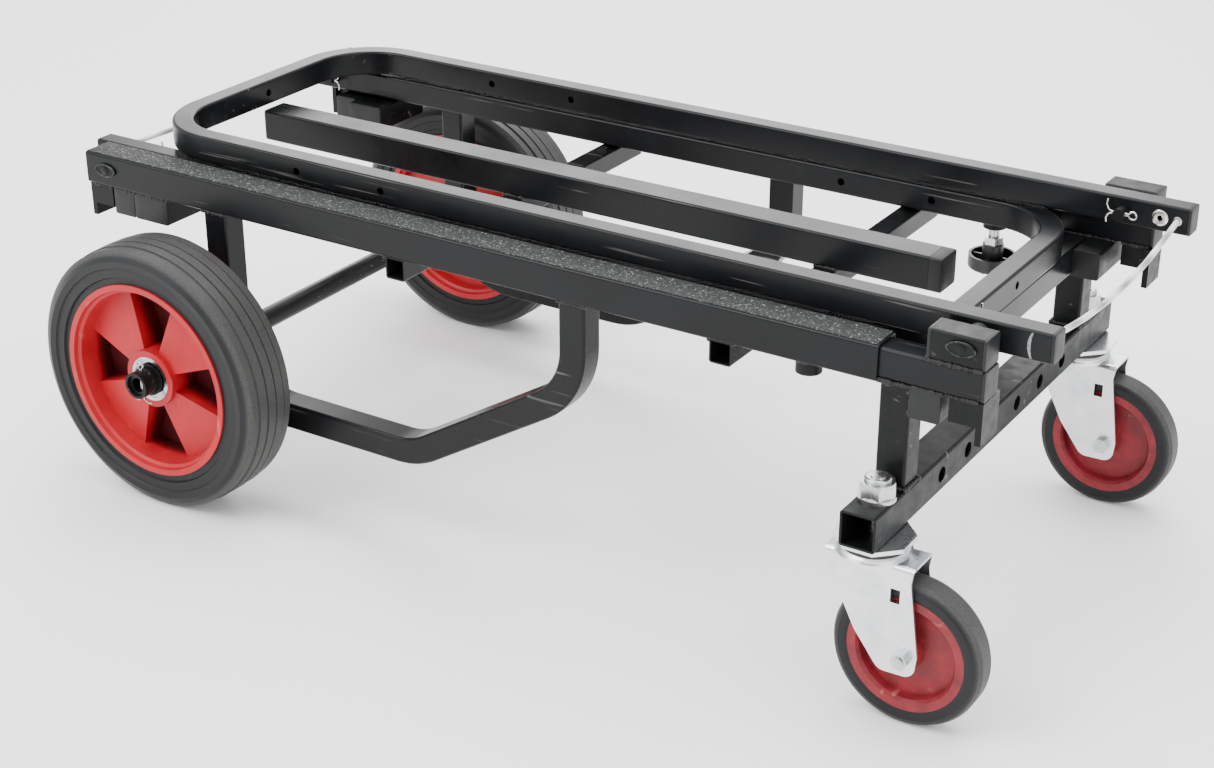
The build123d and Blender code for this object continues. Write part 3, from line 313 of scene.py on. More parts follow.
@dataclass(frozen=True)
class TyreFinish(Finish):
    """Rubber that is worn paler on its tread, round an axle that runs along y.

    Args:
        centre: a point of the axle, in truck millimetres.
        tread_mm: radius from which the tread is worn.
        worn_colour: colour of the worn tread.
        worn_share: how much of it shows where it is most worn.
        edge_mm: half the width over which the wear starts.
        patch_gain: strength of the fine pattern in the wear.
    """

    centre: tuple[float, float, float] = (0.0, 0.0, 0.0)
    tread_mm: float = 120.0
    worn_colour: str = "#454443"
    worn_share: float = 0.75
    edge_mm: float = 1.5
    patch_gain: float = 1.6

    def detail(self, surface: Surface) -> None:
        """Wear: by distance from the axle, broken up by the fine pattern.

        Args:
            surface: the material so far, changed in place.
        """
        tree = surface.tree
        middle = at(*self.centre)
        moved = add(tree, "ShaderNodeMapping", {
            "Location": (-middle.x, 0.0, -middle.z), "Scale": (1.0, 0.0, 1.0)},
            {"Vector": surface.place}).outputs[0]
        reach = add(tree, "ShaderNodeVectorMath", {"operation": "LENGTH"}, {0: moved}).outputs[1]
        worn = add(tree, "ShaderNodeMapRange", {
            "From Min": (self.tread_mm - self.edge_mm) * MM,
            "From Max": (self.tread_mm + self.edge_mm) * MM, "To Max": self.worn_share},
            {"Value": reach}).outputs[0]
        surface.lay(self.worn_colour, worn, surface.height, self.patch_gain)


@dataclass(frozen=True)
class RecessedFinish(ScratchedFinish):
    """A moulded wheel centre whose deep recesses are darkened by painted shade.

    Args:
        clear_y: distance from the truck's middle, in millimetres, that has no painted shade.
        deep_y: distance at which the painted shade is full.
        back_y: the recess's back wall, behind which the plastic is unshaded again.
        back_half: half the depth over which the painted shade ends at the back wall.
        shade_colour: the dark red painted as the shade inside the recesses.
        shade_share: how much of it shows at most.
    """

    clear_y: float = 249.5
    deep_y: float = 238.0
    back_y: float = 228.5
    back_half: float = 0.5
    shade_colour: str = "#22070A"
    shade_share: float = 0.86

    def detail(self, surface: Surface) -> None:
        """Scratches, then painted shade in the recesses, by the distance from the truck's
        middle.

        Args:
            surface: the material so far, changed in place.
        """
        super().detail(surface)
        tree = surface.tree
        parts = add(tree, "ShaderNodeSeparateXYZ", links={0: surface.place})
        away = add(tree, "ShaderNodeMath", {"operation": "ABSOLUTE"},
                   {0: parts.outputs["Y"]}).outputs[0]
        deep = add(tree, "ShaderNodeMapRange", {
            "interpolation_type": "SMOOTHSTEP", "From Min": self.clear_y * MM,
            "From Max": self.deep_y * MM, "To Max": self.shade_share},
            {"Value": away}).outputs[0]
        front = add(tree, "ShaderNodeMapRange", {
            "From Min": (self.back_y - self.back_half) * MM,
            "From Max": (self.back_y + self.back_half) * MM}, {"Value": away}).outputs[0]
        # painted shade: the recess walls are darkened in colour to stand in for the shadow
        # inside the hub's windows
        surface.lay(self.shade_colour, deep, front)


@dataclass(frozen=True)
class TwistedFinish(Finish):
    """A stranded steel cable in a clear sleeve: slanting bands of light and dark.

    Args:
        lay_mm: distance between strands along the cable.
        gap_colour: colour between the strands.
        slant: scale of the bands along x, y and z, which sets their slope.
        waver: how unevenly the strands lie.
    """

    lay_mm: float = 4.0
    gap_colour: str = "#7E8287"
    slant: tuple[float, float, float] = (0.0, 1.0, 0.8)
    waver: float = 0.4

    def detail(self, surface: Surface) -> None:
        """Strands: bands that run slantwise across the cable's length.

        Args:
            surface: the material so far, changed in place.
        """
        tree = surface.tree
        slanted = add(tree, "ShaderNodeMapping", {"Scale": self.slant},
                      {"Vector": surface.place}).outputs[0]
        # a wave pattern repeats about 20 times in each unit of its scale
        surface.height = add(tree, "ShaderNodeTexWave", {
            "bands_direction": "DIAGONAL", "Scale": per_metre(self.lay_mm) / 20,
            "Distortion": self.waver}, {"Vector": slanted}).outputs["Fac"]
        surface.colour = add(tree, "ShaderNodeMix", {
            "data_type": "RGBA", 6: linear(self.gap_colour)},
            {0: surface.height, 7: surface.colour}).outputs[2]


# Polyester powder coat, sprayed and baked: semi-gloss black with a faint orange peel.
POWDER_COAT = ScratchedFinish(
    "powder_coated_steel", "black_steel", ((0.3, "#0A0B0D"), (0.7, "#111214")), 70.0,
    (0.24, 0.36), 1.8, 0.1, 0.15, specular=0.18)
# The same coat over welded and handled fittings: rougher, dustier and more chipped.
FITTING_COAT = ScratchedFinish(
    "powder_coated_fittings", "black_steel", ((0.3, "#090A0B"), (0.62, "#111213"),
                                              (0.8, "#1F1E1D")), 14.0,
    (0.3, 0.5), 2.4, 0.2, 0.3, specular=0.15, scratch_share=0.35,
    scratch_stretch=(90.0, 150.0, 150.0))
# Weld beads under the same coat: lumpy and a little glossy on their ripples.
WELD_COAT = Finish(
    "coated_weld_bead", "black_steel", ((0.3, "#0E0F10"), (0.75, "#1D1C1C")), 5.0,
    (0.26, 0.42), 0.9, 0.2, 0.4, specular=0.3)
# Coat rubbed through to zinc-grey steel where parts scrape and on raised edges.
RUBBED_COAT = Finish(
    "rubbed_through_coat", "black_steel", ((0.35, "#55575A"), (0.6, "#9A9C9F")), 3.0,
    (0.3, 0.5), 0.8, 0.1, 0.4, metallic=1.0)
# Raised edges of the same coat, only partly rubbed through.
RUBBED_EDGE = Finish(
    "rubbed_raised_edge", "black_steel", ((0.42, "#141516"), (0.66, "#4A4C4F")), 4.0,
    (0.3, 0.45), 0.8, 0.1, 0.3, metallic=0.6)
# Polyethylene plugs, injection moulded: matt black with a soft grain.
MOULDED_PLUG = Finish(
    "moulded_polyethylene", "black_plastic", ((0.3, "#0F1011"), (0.7, "#191A1B")), 18.0,
    (0.42, 0.56), 0.7, 0.08, 0.35, specular=0.3)
# Nylon knob, moulded with a spark-eroded texture.
KNOB_NYLON = Finish(
    "moulded_nylon_knob", "black_plastic", ((0.3, "#0D0E0F"), (0.7, "#151617")), 12.0,
    (0.36, 0.5), 0.9, 0.15, 0.4)
# Rubber dust seal above a fork's crown.
SEAL_RUBBER = Finish(
    "seal_rubber", "black_plastic", ((0.3, "#121314"), (0.7, "#1C1C1D")), 10.0,
    (0.5, 0.66), 0.8, 0.1, 0.3)
# Silicon carbide on a vinyl strip; the grit is drawn coarser than its real 0.5 mm to show.
GRIT_TAPE = SpeckledFinish(
    "silicon_carbide_tape", "grip_tape", ((0.35, "#1E201F"), (0.7, "#2B2E2C")), 30.0,
    (0.6, 0.85), 1.2, 0.6, 0.8, specular=0.4, grain_mm=1.3,
    grain_colours=((0.0, "#121413"), (0.6, "#222523"), (0.9, "#3B3E3B"), (1.0, "#7C7E79")))
# Zinc electroplate with a clear blue passivation on pressed steel: bright and mottled.
ZINC_PLATE = Finish(
    "zinc_plated_pressing", "zinc", ((0.25, "#C6CAD0"), (0.5, "#DEE0E3"), (0.75, "#ECEBE8")),
    28.0, (0.24, 0.36), 2.2, 0.05, 0.15, metallic=1.0)
# The same plating on turned bolts and nuts.
ZINC_BOLT = Finish(
    "zinc_plated_bolt", "zinc", ((0.3, "#A6AAAF"), (0.7, "#CFCFCB")), 9.0,
    (0.2, 0.32), 1.1, 0.04, 0.15, metallic=1.0)
# Nickel-plated brass rivets and eyelets.
NICKEL_RIVET = Finish(
    "nickel_plated_rivet", "zinc", ((0.3, "#C9C6BE"), (0.7, "#E9E7E1")), 5.0,
    (0.16, 0.28), 0.8, 0.05, 0.2, metallic=1.0)
# Ground bearing steel: mirror-like rings with an oily tint.
BEARING_STEEL = Finish(
    "ground_bearing_steel", "zinc", ((0.3, "#8F9296"), (0.7, "#C4C5C6")), 9.0,
    (0.14, 0.28), 0.8, 0.05, 0.2, metallic=1.0)
# Polypropylene wheel centres, moulded in signal red with a fine matt grain, with painted shade
# darkening their deep recesses.
RED_POLYPROPYLENE = RecessedFinish(
    "moulded_red_polypropylene", "wheel_red", ((0.3, "#980F19"), (0.7, "#AE1A25")), 45.0,
    (0.4, 0.56), 1.0, 0.1, 0.3, ior=1.49, specular=0.3, scratch_colour="#C07672",
    scratch_share=0.3, scratch_stretch=(120.0, 120.0, 20.0))
# The same plastic on the casters, in a darker red that is painted shade for the casters.
SHADED_POLYPROPYLENE = ScratchedFinish(
    "shaded_red_polypropylene", "wheel_red", ((0.3, "#5E1218"), (0.7, "#86202A")), 16.0,
    (0.4, 0.6), 1.0, 0.12, 0.35, ior=1.49, specular=0.35, scratch_colour="#B9716D",
    scratch_share=0.4, scratch_stretch=(120.0, 20.0, 120.0))
# Clear vinyl sleeve over galvanised wire rope.
CABLE_SLEEVE = TwistedFinish(
    "vinyl_sleeved_wire_rope", "cable", ((0.3, "#CFD1CF"), (0.7, "#E6E6E2")), 20.0,
    (0.22, 0.34), 1.5, 0.2, 0.4, coat=0.5)


def rubber(name: str, centre: Point, tread_mm: float) -> TyreFinish:
    """Vulcanised black rubber of one tyre: dull, a little dusty, worn grey on its tread."""
    return TyreFinish(name, "tyre_rubber", ((0.3, "#111214"), (0.7, "#1A1B1D")), 40.0,
                      (0.42, 0.58), 1.4, 0.18, 0.35, ior=1.52, specular=0.22,
                      centre=tuple(centre), tread_mm=tread_mm)


def settle(thing: bpy.types.Object, finish: Finish, body: str) -> None:
    """Lets a dressed piece ride on a CAD body, and reports it."""
    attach(thing, body)
    log.info("%s on %s in %s", thing.name, body, finish.name)


# ------------------------------------------------------------------------- mesh making
class Maker:
    """A growing mesh in the frame's metres, from shapes given in truck millimetres."""

    def __init__(self, name: str) -> None:
        """Starts an empty mesh that will be called name."""
        self.name = name
        self.mesh = bmesh.new()

    def loops(self, rings: Sequence[Sequence[Vector]], closed: bool = False) -> None:
        """Joins rings of points into a skin.

        Args:
            rings: rings of equal length, or of one point for a pole.
            closed: whether the last ring joins the first.
        """
        made = [[self.mesh.verts.new(p) for p in ring] for ring in rings]
        pairs = list(zip(made, made[1:]))
        if closed:
            pairs.append((made[-1], made[0]))
        for low, high in pairs:
            count = max(len(low), len(high))
            for i in range(count):
                j = (i + 1) % count
                corners = [low[i % len(low)], low[j % len(low)], high[j % len(high)],
                           high[i % len(high)]]
                self.mesh.faces.new(list(dict.fromkeys(corners)))
        if not closed:
            for ring in (made[0], made[-1]):
                if len(ring) > 2:
                    self.mesh.faces.new(ring)

    def turned(self, centre: Point, outline: Sequence[tuple[float, float]],
               steps: int, closed: bool = True) -> None:
        """Turns an outline about an axis that runs across the truck.

        Args:
            centre: the axis's zero point, in truck millimetres.
            outline: (distance along the axis, radius) points, in millimetres.
            steps: sides of the round.
            closed: whether the outline closes on itself, as for a ring.
        """
        middle = at(*centre)
        rings = []
        for offset, radius in outline:
            sides = steps if radius else 1
            rings.append([middle + Vector((radius * math.sin(TURN * i / sides), offset,
                                           radius * math.cos(TURN * i / sides))) * MM
                          for i in range(sides)])
        self.loops(rings, closed)

    def wire(self, points: Line, radius: float, sides: int, closed: bool = False) -> None:
        """Runs a round wire along points.

        Args:
            points: the wire's centreline.
            radius: the wire's radius in millimetres.
            sides: sides of the round.
            closed: whether it is a closed ring.
        """
        count = len(points)
        rings = []
        side = None
        for i, point in enumerate(points):
            before = points[i - 1] if i or closed else point
            after = points[(i + 1) % count] if i < count - 1 or closed else point
            ahead = (after - before).normalized()
            if side is None:
                side = ahead.orthogonal().normalized()
            side = (side - ahead * side.dot(ahead)).normalized()
            up = ahead.cross(side)
            rings.append([point + (side * math.cos(TURN * k / sides)
                                   + up * math.sin(TURN * k / sides)) * radius * MM
                          for k in range(sides)])
        self.loops(rings, closed)

    def piece(self, finish: Finish, body: str) -> bpy.types.Object:
        """Finishes the mesh as a piece that rides on a body.

        Args:
            finish: what it is dressed in.
            body: the CAD body that it moves with.

        Returns:
            The piece's object.
        """
        bmesh.ops.remove_doubles(self.mesh, verts=self.mesh.verts, dist=1e-6)
        bmesh.ops.recalc_face_normals(self.mesh, faces=self.mesh.faces)
        for face in self.mesh.faces:
            face.smooth = True
        for edge in self.mesh.edges:
            edge.smooth = edge.calc_face_angle(math.pi) < SMOOTH_ANGLE
        data = bpy.data.meshes.new(self.name)
        self.mesh.to_mesh(data)
        self.mesh.free()
        data.materials.append(finish.material())
        thing = new_thing(self.name, data)
        settle(thing, finish, body)
        return thing


def loose_mesh(name: str, chains: Iterable[Line], filled: bool) -> bpy.types.Mesh:
    """Mesh of separate chains of points.

    Args:
        name: the mesh's name.
        chains: the points of each chain.
        filled: whether a chain is the outline of a face, or a line of edges.

    Returns:
        The mesh.
    """
    points: Line = []
    runs: list[list[int]] = []
    for chain in chains:
        runs.append(list(range(len(points), len(points) + len(chain))))
        points.extend(chain)
    edges = [] if filled else [pair for run in runs for pair in zip(run, run[1:])]
    data = bpy.data.meshes.new(name)
    data.from_pydata(points, edges, runs if filled else [])
    return data


# ------------------------------------------------------------------------- repeats
@dataclass
class Scatter:
    """A Geometry Nodes tree that sets small shapes along lines or over faces.

    Args:
        name: name of the tree and of its piece.
        finish: what the shapes are dressed in.
        body: the CAD body that the piece moves with.
        seed: the first of its random seeds.
    """

    name: str
    finish: Finish
    body: str
    seed: int = 7

    def start(self, inputs: Iterable[str]) -> tuple[Tree, bpy.types.Node]:
        """Makes the tree with its geometry sockets and named number inputs.

        Args:
            inputs: names of the number inputs.

        Returns:
            The tree and its group input node.
        """
        tree = bpy.data.node_groups.new(self.name, "GeometryNodeTree")
        face = tree.interface
        for way in ("INPUT", "OUTPUT"):
            face.new_socket("Geometry", in_out=way, socket_type="NodeSocketGeometry")
        for label in inputs:
            face.new_socket(label, in_out="INPUT", socket_type="NodeSocketFloat")
        return tree, add(tree, "NodeGroupInput")

    def beads(self, source: bpy.types.Mesh, sizes: dict[str, float]) -> None:
        """Overlapping flattened beads along lines, each a little different.

        Args:
            source: the lines.
            sizes: Pitch and Radius in metres, and Flatness.
        """
        tree, start = self.start(sizes)
        line = add(tree, "GeometryNodeMeshToCurve", links={"Mesh": start.outputs["Geometry"]})
        even = add(tree, "GeometryNodeResampleCurve", {"mode": "LENGTH"}, {
            "Curve": line.outputs[0], "Length": start.outputs["Pitch"]})
        shape = add(tree, "GeometryNodeMeshIcoSphere", {"Subdivisions": 2},
                    {"Radius": start.outputs["Radius"]})
        flat = add(tree, "ShaderNodeCombineXYZ", {"X": 1.0, "Y": 1.0},
                   {"Z": start.outputs["Flatness"]})
        pressed = add(tree, "GeometryNodeTransform", links={
            "Geometry": shape.outputs["Mesh"], "Scale": flat.outputs[0]})
        tangent = add(tree, "GeometryNodeInputTangent")
        turn = add(tree, "FunctionNodeAlignRotationToVector", {"axis": "Z"},
                   {"Vector": tangent.outputs[0]})
        size = add(tree, "FunctionNodeRandomValue", {
            "data_type": "FLOAT", 2: 0.65, 3: 1.2, "Seed": self.seed})
        self.end(tree, {"Points": even.outputs[0], "Instance": pressed.outputs[0],
                        "Rotation": turn.outputs[0], "Scale": size.outputs[1]}, True)
        self.apply(source, tree, sizes)

    def grains(self, source: bpy.types.Mesh, sizes: dict[str, float]) -> None:
        """Angular grains scattered over faces.

        Args:
            source: the faces.
            sizes: Density per square metre, and Radius in metres.
        """
        tree, start = self.start(sizes)
        spread = add(tree, "GeometryNodeDistributePointsOnFaces", {"Seed": self.seed}, {
            "Mesh": start.outputs["Geometry"], "Density": start.outputs["Density"]})
        shape = add(tree, "GeometryNodeMeshIcoSphere", {"Subdivisions": 1},
                    {"Radius": start.outputs["Radius"]})
        size = add(tree, "FunctionNodeRandomValue", {
            "data_type": "FLOAT", 2: 0.45, 3: 1.2, "Seed": self.seed + 1})
        turn = add(tree, "FunctionNodeRandomValue", {
            "data_type": "FLOAT_VECTOR", 1: (TURN, TURN, TURN), "Seed": self.seed + 2})
        self.end(tree, {"Points": spread.outputs[0], "Instance": shape.outputs["Mesh"],
                        "Rotation": turn.outputs[0], "Scale": size.outputs[1]}, False)
        self.apply(source, tree, sizes)

    def end(self, tree: Tree, links: dict[str, Socket], smooth: bool) -> None:
        """Closes a tree: shapes set on its points, made real, shaded and dressed.

        Args:
            tree: the tree.
            links: the points, the shape, and its turn and size.
            smooth: whether the shapes are shaded smooth.
        """
        last = add(tree, "GeometryNodeInstanceOnPoints", links=links)
        for kind, settings in (
                ("GeometryNodeRealizeInstances", {}),
                ("GeometryNodeSetShadeSmooth", {"Shade Smooth": smooth}),
                ("GeometryNodeSetMaterial", {"Material": self.finish.material()})):
            last = add(tree, kind, settings, {"Geometry": last.outputs[0]})
        add(tree, "NodeGroupOutput", links={0: last.outputs[0]})

    def apply(self, source: bpy.types.Mesh, tree: Tree, sizes: dict[str, float]) -> None:
        """Runs the tree on a mesh and keeps the result as a plain piece.

        Args:
            source: the lines or faces that the tree works on.
            tree: the tree.
            sizes: the number inputs by name.
        """
        thing = new_thing(self.name, source)
        setter = thing.modifiers.new("repeat", "NODES")
        setter.node_group = tree
        for item in tree.interface.items_tree:
            if item.in_out == "INPUT" and item.name in sizes:
                setter[item.identifier] = sizes[item.name]
        graph = bpy.context.evaluated_depsgraph_get()
        plain = bpy.data.meshes.new_from_object(thing.evaluated_get(graph))
        thing.modifiers.clear()
        thing.data = plain
        plain.name = self.name
        if not plain.materials:
            plain.materials.append(self.finish.material())
        settle(thing, self.finish, self.body)


# ------------------------------------------------------------------------- the truck
@dataclass
class WeldedFrame:
    """The welded tubes: the sizes that their weld beads follow.

    A pair of sizes is a piece's middle along the truck and half its length.
    """

    deck_bottom: float = 268.0
    slide_top: float = 295.5
    slide_bottom: float = 270.5
    bar_top: float = 183.3
    post_x: float = 819.0
    block: tuple[float, float] = (865.0, 23.5)
    front_latch: tuple[float, float] = (873.5, 11.0)
    front_stub: tuple[float, float] = (844.0, 12.0)
    under_rail: tuple[tuple[float, float], ...] = ((16.0, 11.0), (42.5, 12.0), (75.0, 19.5))
    frame_x: tuple[float, float] = (531.2, 150.5)
    cross_x: tuple[float, float] = (353.0, 670.0)
    cross_half: float = 10.0
    boss_x: float = 741.0
    boss_radius: float = 11.0
    bracket_x: float = 137.2
    bracket_half_width: float = 8.0
    bracket_half_height: float = 14.5
    half: float = TUBE / 2
    proud: float = 0.4             # middle of a bead outside the corner that it fills
    short: float = 2.0             # end of a bead inside the end of its edge
    sizes: tuple[tuple[str, float], ...] = (
        ("Pitch", 0.0017), ("Radius", 0.0021), ("Flatness", 0.8))

    def seam(self, x: float, y: float, z: float, dx: float = 0.0, dy: float = 0.0,
             dz: float = 0.0) -> Line:
        """Straight line through a point, which reaches dx, dy and dz to each side of it."""
        return [at(x - dx, y - dy, z - dz), at(x + dx, y + dy, z + dz)]

    def square(self, x: float, y: float, z: float) -> Line:
        """Closed level loop round a tube's end."""
        reach = self.half + self.proud
        corners = ((1, 1), (-1, 1), (-1, -1), (1, -1), (1, 1))
        return [at(x + i * reach, y + j * reach, z) for i, j in corners]

    def chassis_lines(self, side: int) -> list[Line]:
        """Weld lines of one side of the fixed frame.

        Args:
            side: 1 for the left, -1 for the right.

        Returns:
            The lines.
        """
        y = side * RAIL_Y
        low = self.deck_bottom - 0.6
        lines = [self.square(x, y, low) for x in self.frame_x]
        inner = side * (RAIL_Y - RAIL / 2 + 0.5)
        centre = side * (RAIL / 2 - 0.5)
        for x in self.cross_x:
            lines += [self.seam(x, v, low + 0.4, dx=self.cross_half) for v in (inner, centre)]
            lines += [self.seam(x + e * (self.cross_half + self.proud), y, low, dy=self.half)
                      for e in (-1, 1)]
        for x, reach in self.under_rail:
            lines += [self.seam(x, y + e * self.half, low, dx=reach) for e in (-1, 1)]
        rest_x, rest_half = self.under_rail[-1]
        lines.append(self.seam(rest_x + rest_half + 1.0, y, low, dy=self.half))
        turns = [TURN * i / 24 for i in range(25)]
        lines.append([at(self.boss_x + self.boss_radius * math.cos(angle),
                         y + self.boss_radius * math.sin(angle), low) for angle in turns])
        wide, tall = self.bracket_half_width, self.bracket_half_height
        lines += [self.seam(self.bracket_x, y, AXLE[1] + e * tall, dy=wide) for e in (-1, 1)]
        lines += [self.seam(self.bracket_x + 0.2, y + e * (wide + self.proud), AXLE[1],
                            dz=tall + 0.5) for e in (-1, 1)]
        return lines

    def carriage_lines(self, side: int) -> list[Line]:
        """Weld lines of one side of the sliding carriage.

        Args:
            side: 1 for the left, -1 for the right.

        Returns:
            The lines.
        """
        y = side * RAIL_Y
        half, low = self.half, self.slide_bottom
        across = half - self.short
        lines = [self.square(self.post_x, y, low - 0.5),
                 self.square(self.post_x, y, self.bar_top + 0.3)]
        block_x, block_half = self.block
        for e in (-1, 1):
            v = y + e * (half - 0.2)
            lines.append(self.seam(block_x, v, self.slide_top, dx=block_half - 3.0))
            lines.append(self.seam(self.front_latch[0], v, low, dx=self.front_latch[1]))
            lines.append(self.seam(self.front_stub[0], v, low - 0.3, dx=self.front_stub[1]))
        lines.append(self.seam(block_x - block_half, y, self.slide_top + 0.2, dy=across))
        post_front = self.post_x + half
        stub_z = low - half            # middle of the stub; its upright beads run downwards
        for z in (low - 1.5, low - TUBE + 0.5):
            lines.append(self.seam(post_front, y, z, dy=across))
        for e in (-1, 1):
            lines.append(self.seam(post_front, y + e * (half - 0.3), stub_z, dz=-across))
        inner = side * (RAIL_Y - half)
        for x in (self.post_x - half, post_front):
            lines.append(self.seam(x, inner, stub_z, dz=-across))
        lines.append(self.seam(self.post_x, inner, low - TUBE, dx=half))
        return lines

    def weld(self) -> None:
        """Lays the beads, one piece for each body."""
        for name, body, lines in (
                ("chassis_weld_beads", "chassis", self.chassis_lines),
                ("carriage_weld_beads", "front_carriage", self.carriage_lines)):
            source = loose_mesh(name, lines(1) + lines(-1), filled=False)
            Scatter(name, WELD_COAT, body).beads(source, dict(self.sizes))


@dataclass
class GripStrips:
    """The grit scattered over the anti-slip strips, which stay as they are."""

    rear_x: float = 1.4
    front_x: float = 803.1
    half_width: float = 13.6
    top_z: float = 299.0
    grain: float = 0.75            # grit radius, drawn coarser than real
    sunk: float = 0.45             # share of that radius below the strip's face
    margin: float = 0.2
    per_square_metre: float = 70000.0

    def build(self) -> None:
        """Makes the grit of both strips."""
        inset = self.grain + self.margin
        rear, front = self.rear_x + inset, self.front_x - inset
        wide, z = self.half_width - inset, self.top_z - self.grain * self.sunk
        faces = [[at(x, side.value * RAIL_Y + e * wide, z)
                  for x, e in ((rear, -1), (front, -1), (front, 1), (rear, 1))]
                 for side in Side]
        Scatter("grip_grit", GRIT_TAPE, "chassis").grains(
            loose_mesh("grip_grit", faces, filled=True),
            {"Density": self.per_square_metre, "Radius": self.grain * MM})


@dataclass
class ReleaseCable:
    """A handle's release cable between its two legs, with its route's own points."""

    name: str
    body: str
    node: str
    x: float
    z: float
    shape: tuple[tuple[float, float, float], ...]   # (share of half gap, forward, sag)
    length: float                                   # metres
    half_gap: float = LEG_INNER_Y
    diameter: float = 5.0

    def build(self) -> bpy.types.Object:
        """Makes the cable as one smooth spline and says what it is.

        Returns:
            The cable's object.
        """
        curve = bpy.data.curves.new(self.name, "CURVE")
        curve.dimensions = "3D"
        curve.bevel_depth = self.diameter / 2 * MM
        curve.bevel_resolution = 6
        curve.resolution_u = 16
        curve.use_fill_caps = True
        points = [at(self.x + forward, share * self.half_gap, self.z - sag)
                  for share, forward, sag in self.shape]
        line = curve.splines.new("NURBS")
        line.points.add(len(points) - 1)
        for place, point in zip(line.points, points):
            place.co = (*point, 1.0)
        line.order_u = 3
        line.use_endpoint_u = True
        curve.materials.append(CABLE_SLEEVE.material())
        thing = new_thing(self.name, curve)
        settle(thing, CABLE_SLEEVE, self.body)
        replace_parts(thing, self.node)
        return thing


END_SHARE = 1.0 - 1.5 / LEG_INNER_Y      # a cable ends 1.5 mm short of the leg's face
CABLES = (
    ReleaseCable("front_cable", "front_handle_assembly", "front_release_cable", 916.0, 310.4,
                 ((END_SHARE, 0, 0), (0.67, 0.8, 7.2), (0.34, 1.4, 11.6), (0.0, 1.6, 13.2),
                  (-0.34, 1.3, 11.2), (-0.68, 0.6, 6.8), (-END_SHARE, 0, 0)), 0.2765),
    ReleaseCable("rear_cable", "chassis", "rear_release_cable", -9.0, 284.0,
                 ((END_SHARE, 0, 0), (0.66, -2.0, 2.6), (0.33, -3.4, 4.4), (-0.02, -4.0, 5.0),
                  (-0.36, -3.2, 4.2), (-0.69, -1.8, 2.4), (-END_SHARE, 0, 0)), 0.2753),
)


@dataclass
class CarriedPieces:
    """The frame's own nodes, which keep their shape and get their finish."""

    wheel_centre: tuple[float, float, float] = (AXLE[0], 0.0, AXLE[1])
    caster_centre: tuple[float, float, float] = (855.4, 0.0, 62.5)
    wheel_tread: float = 119.0
    caster_tread: float = 59.5

    def finishes(self) -> dict[str, Finish]:
        """Finish of every carried node that differs from the plain coat.

        Returns:
            Node name to finish.
        """
        chosen: dict[str, Finish] = {}
        wheel = rubber("vulcanised_wheel_rubber", self.wheel_centre, self.wheel_tread)
        small = rubber("vulcanised_caster_rubber", self.caster_centre, self.caster_tread)
        for side in ("left", "right"):
            chosen["tyre_" + side] = wheel
            chosen["caster_tyre_" + side] = small
            chosen["wheel_hub_" + side] = RED_POLYPROPYLENE
            chosen["caster_wheel_" + side] = SHADED_POLYPROPYLENE
            chosen["wheel_bearings_" + side] = BEARING_STEEL
            chosen["caster_fork_" + side] = ZINC_PLATE
            chosen["caster_axle_bolt_" + side] = ZINC_BOLT
        groups: tuple[tuple[Finish, str], ...] = (
            (FITTING_COAT, "pivot_blocks front_posts front_stop_stubs front_latch_blocks"
                           " front_stop_plates front_pivot_pins rear_pivot_pins caster_bar"
                           " rear_stop_stubs rear_handle_rests rear_latch_blocks"
                           " rear_stop_plates clamp_bosses axle_brackets axle_collars"),
            (MOULDED_PLUG, "frame_caps carriage_caps rear_handle_plugs front_handle_plugs"
                           " front_pivot_spacers"),
            (KNOB_NYLON, "clamp_knob"),
            (SEAL_RUBBER, "caster_seals"),
            (GRIT_TAPE, "grip_tapes"),
            (ZINC_BOLT, "caster_nuts caster_stems clamp_stud"),
            (ZINC_PLATE, "caster_top_plates"),
            (NICKEL_RIVET, "rear_handle_eyelets front_handle_eyelets"))
        for finish, names in groups:
            chosen.update((name, finish) for name in names.split())
        return chosen

    def dress(self) -> None:
        """Gives every node of the frame its material."""
        chosen = self.finishes()
        for name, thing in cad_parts.items():
            finish = chosen.get(name, POWDER_COAT)
            thing.data.materials.clear()
            thing.data.materials.append(finish.material())
            log.info("%s in %s", name, finish.name)


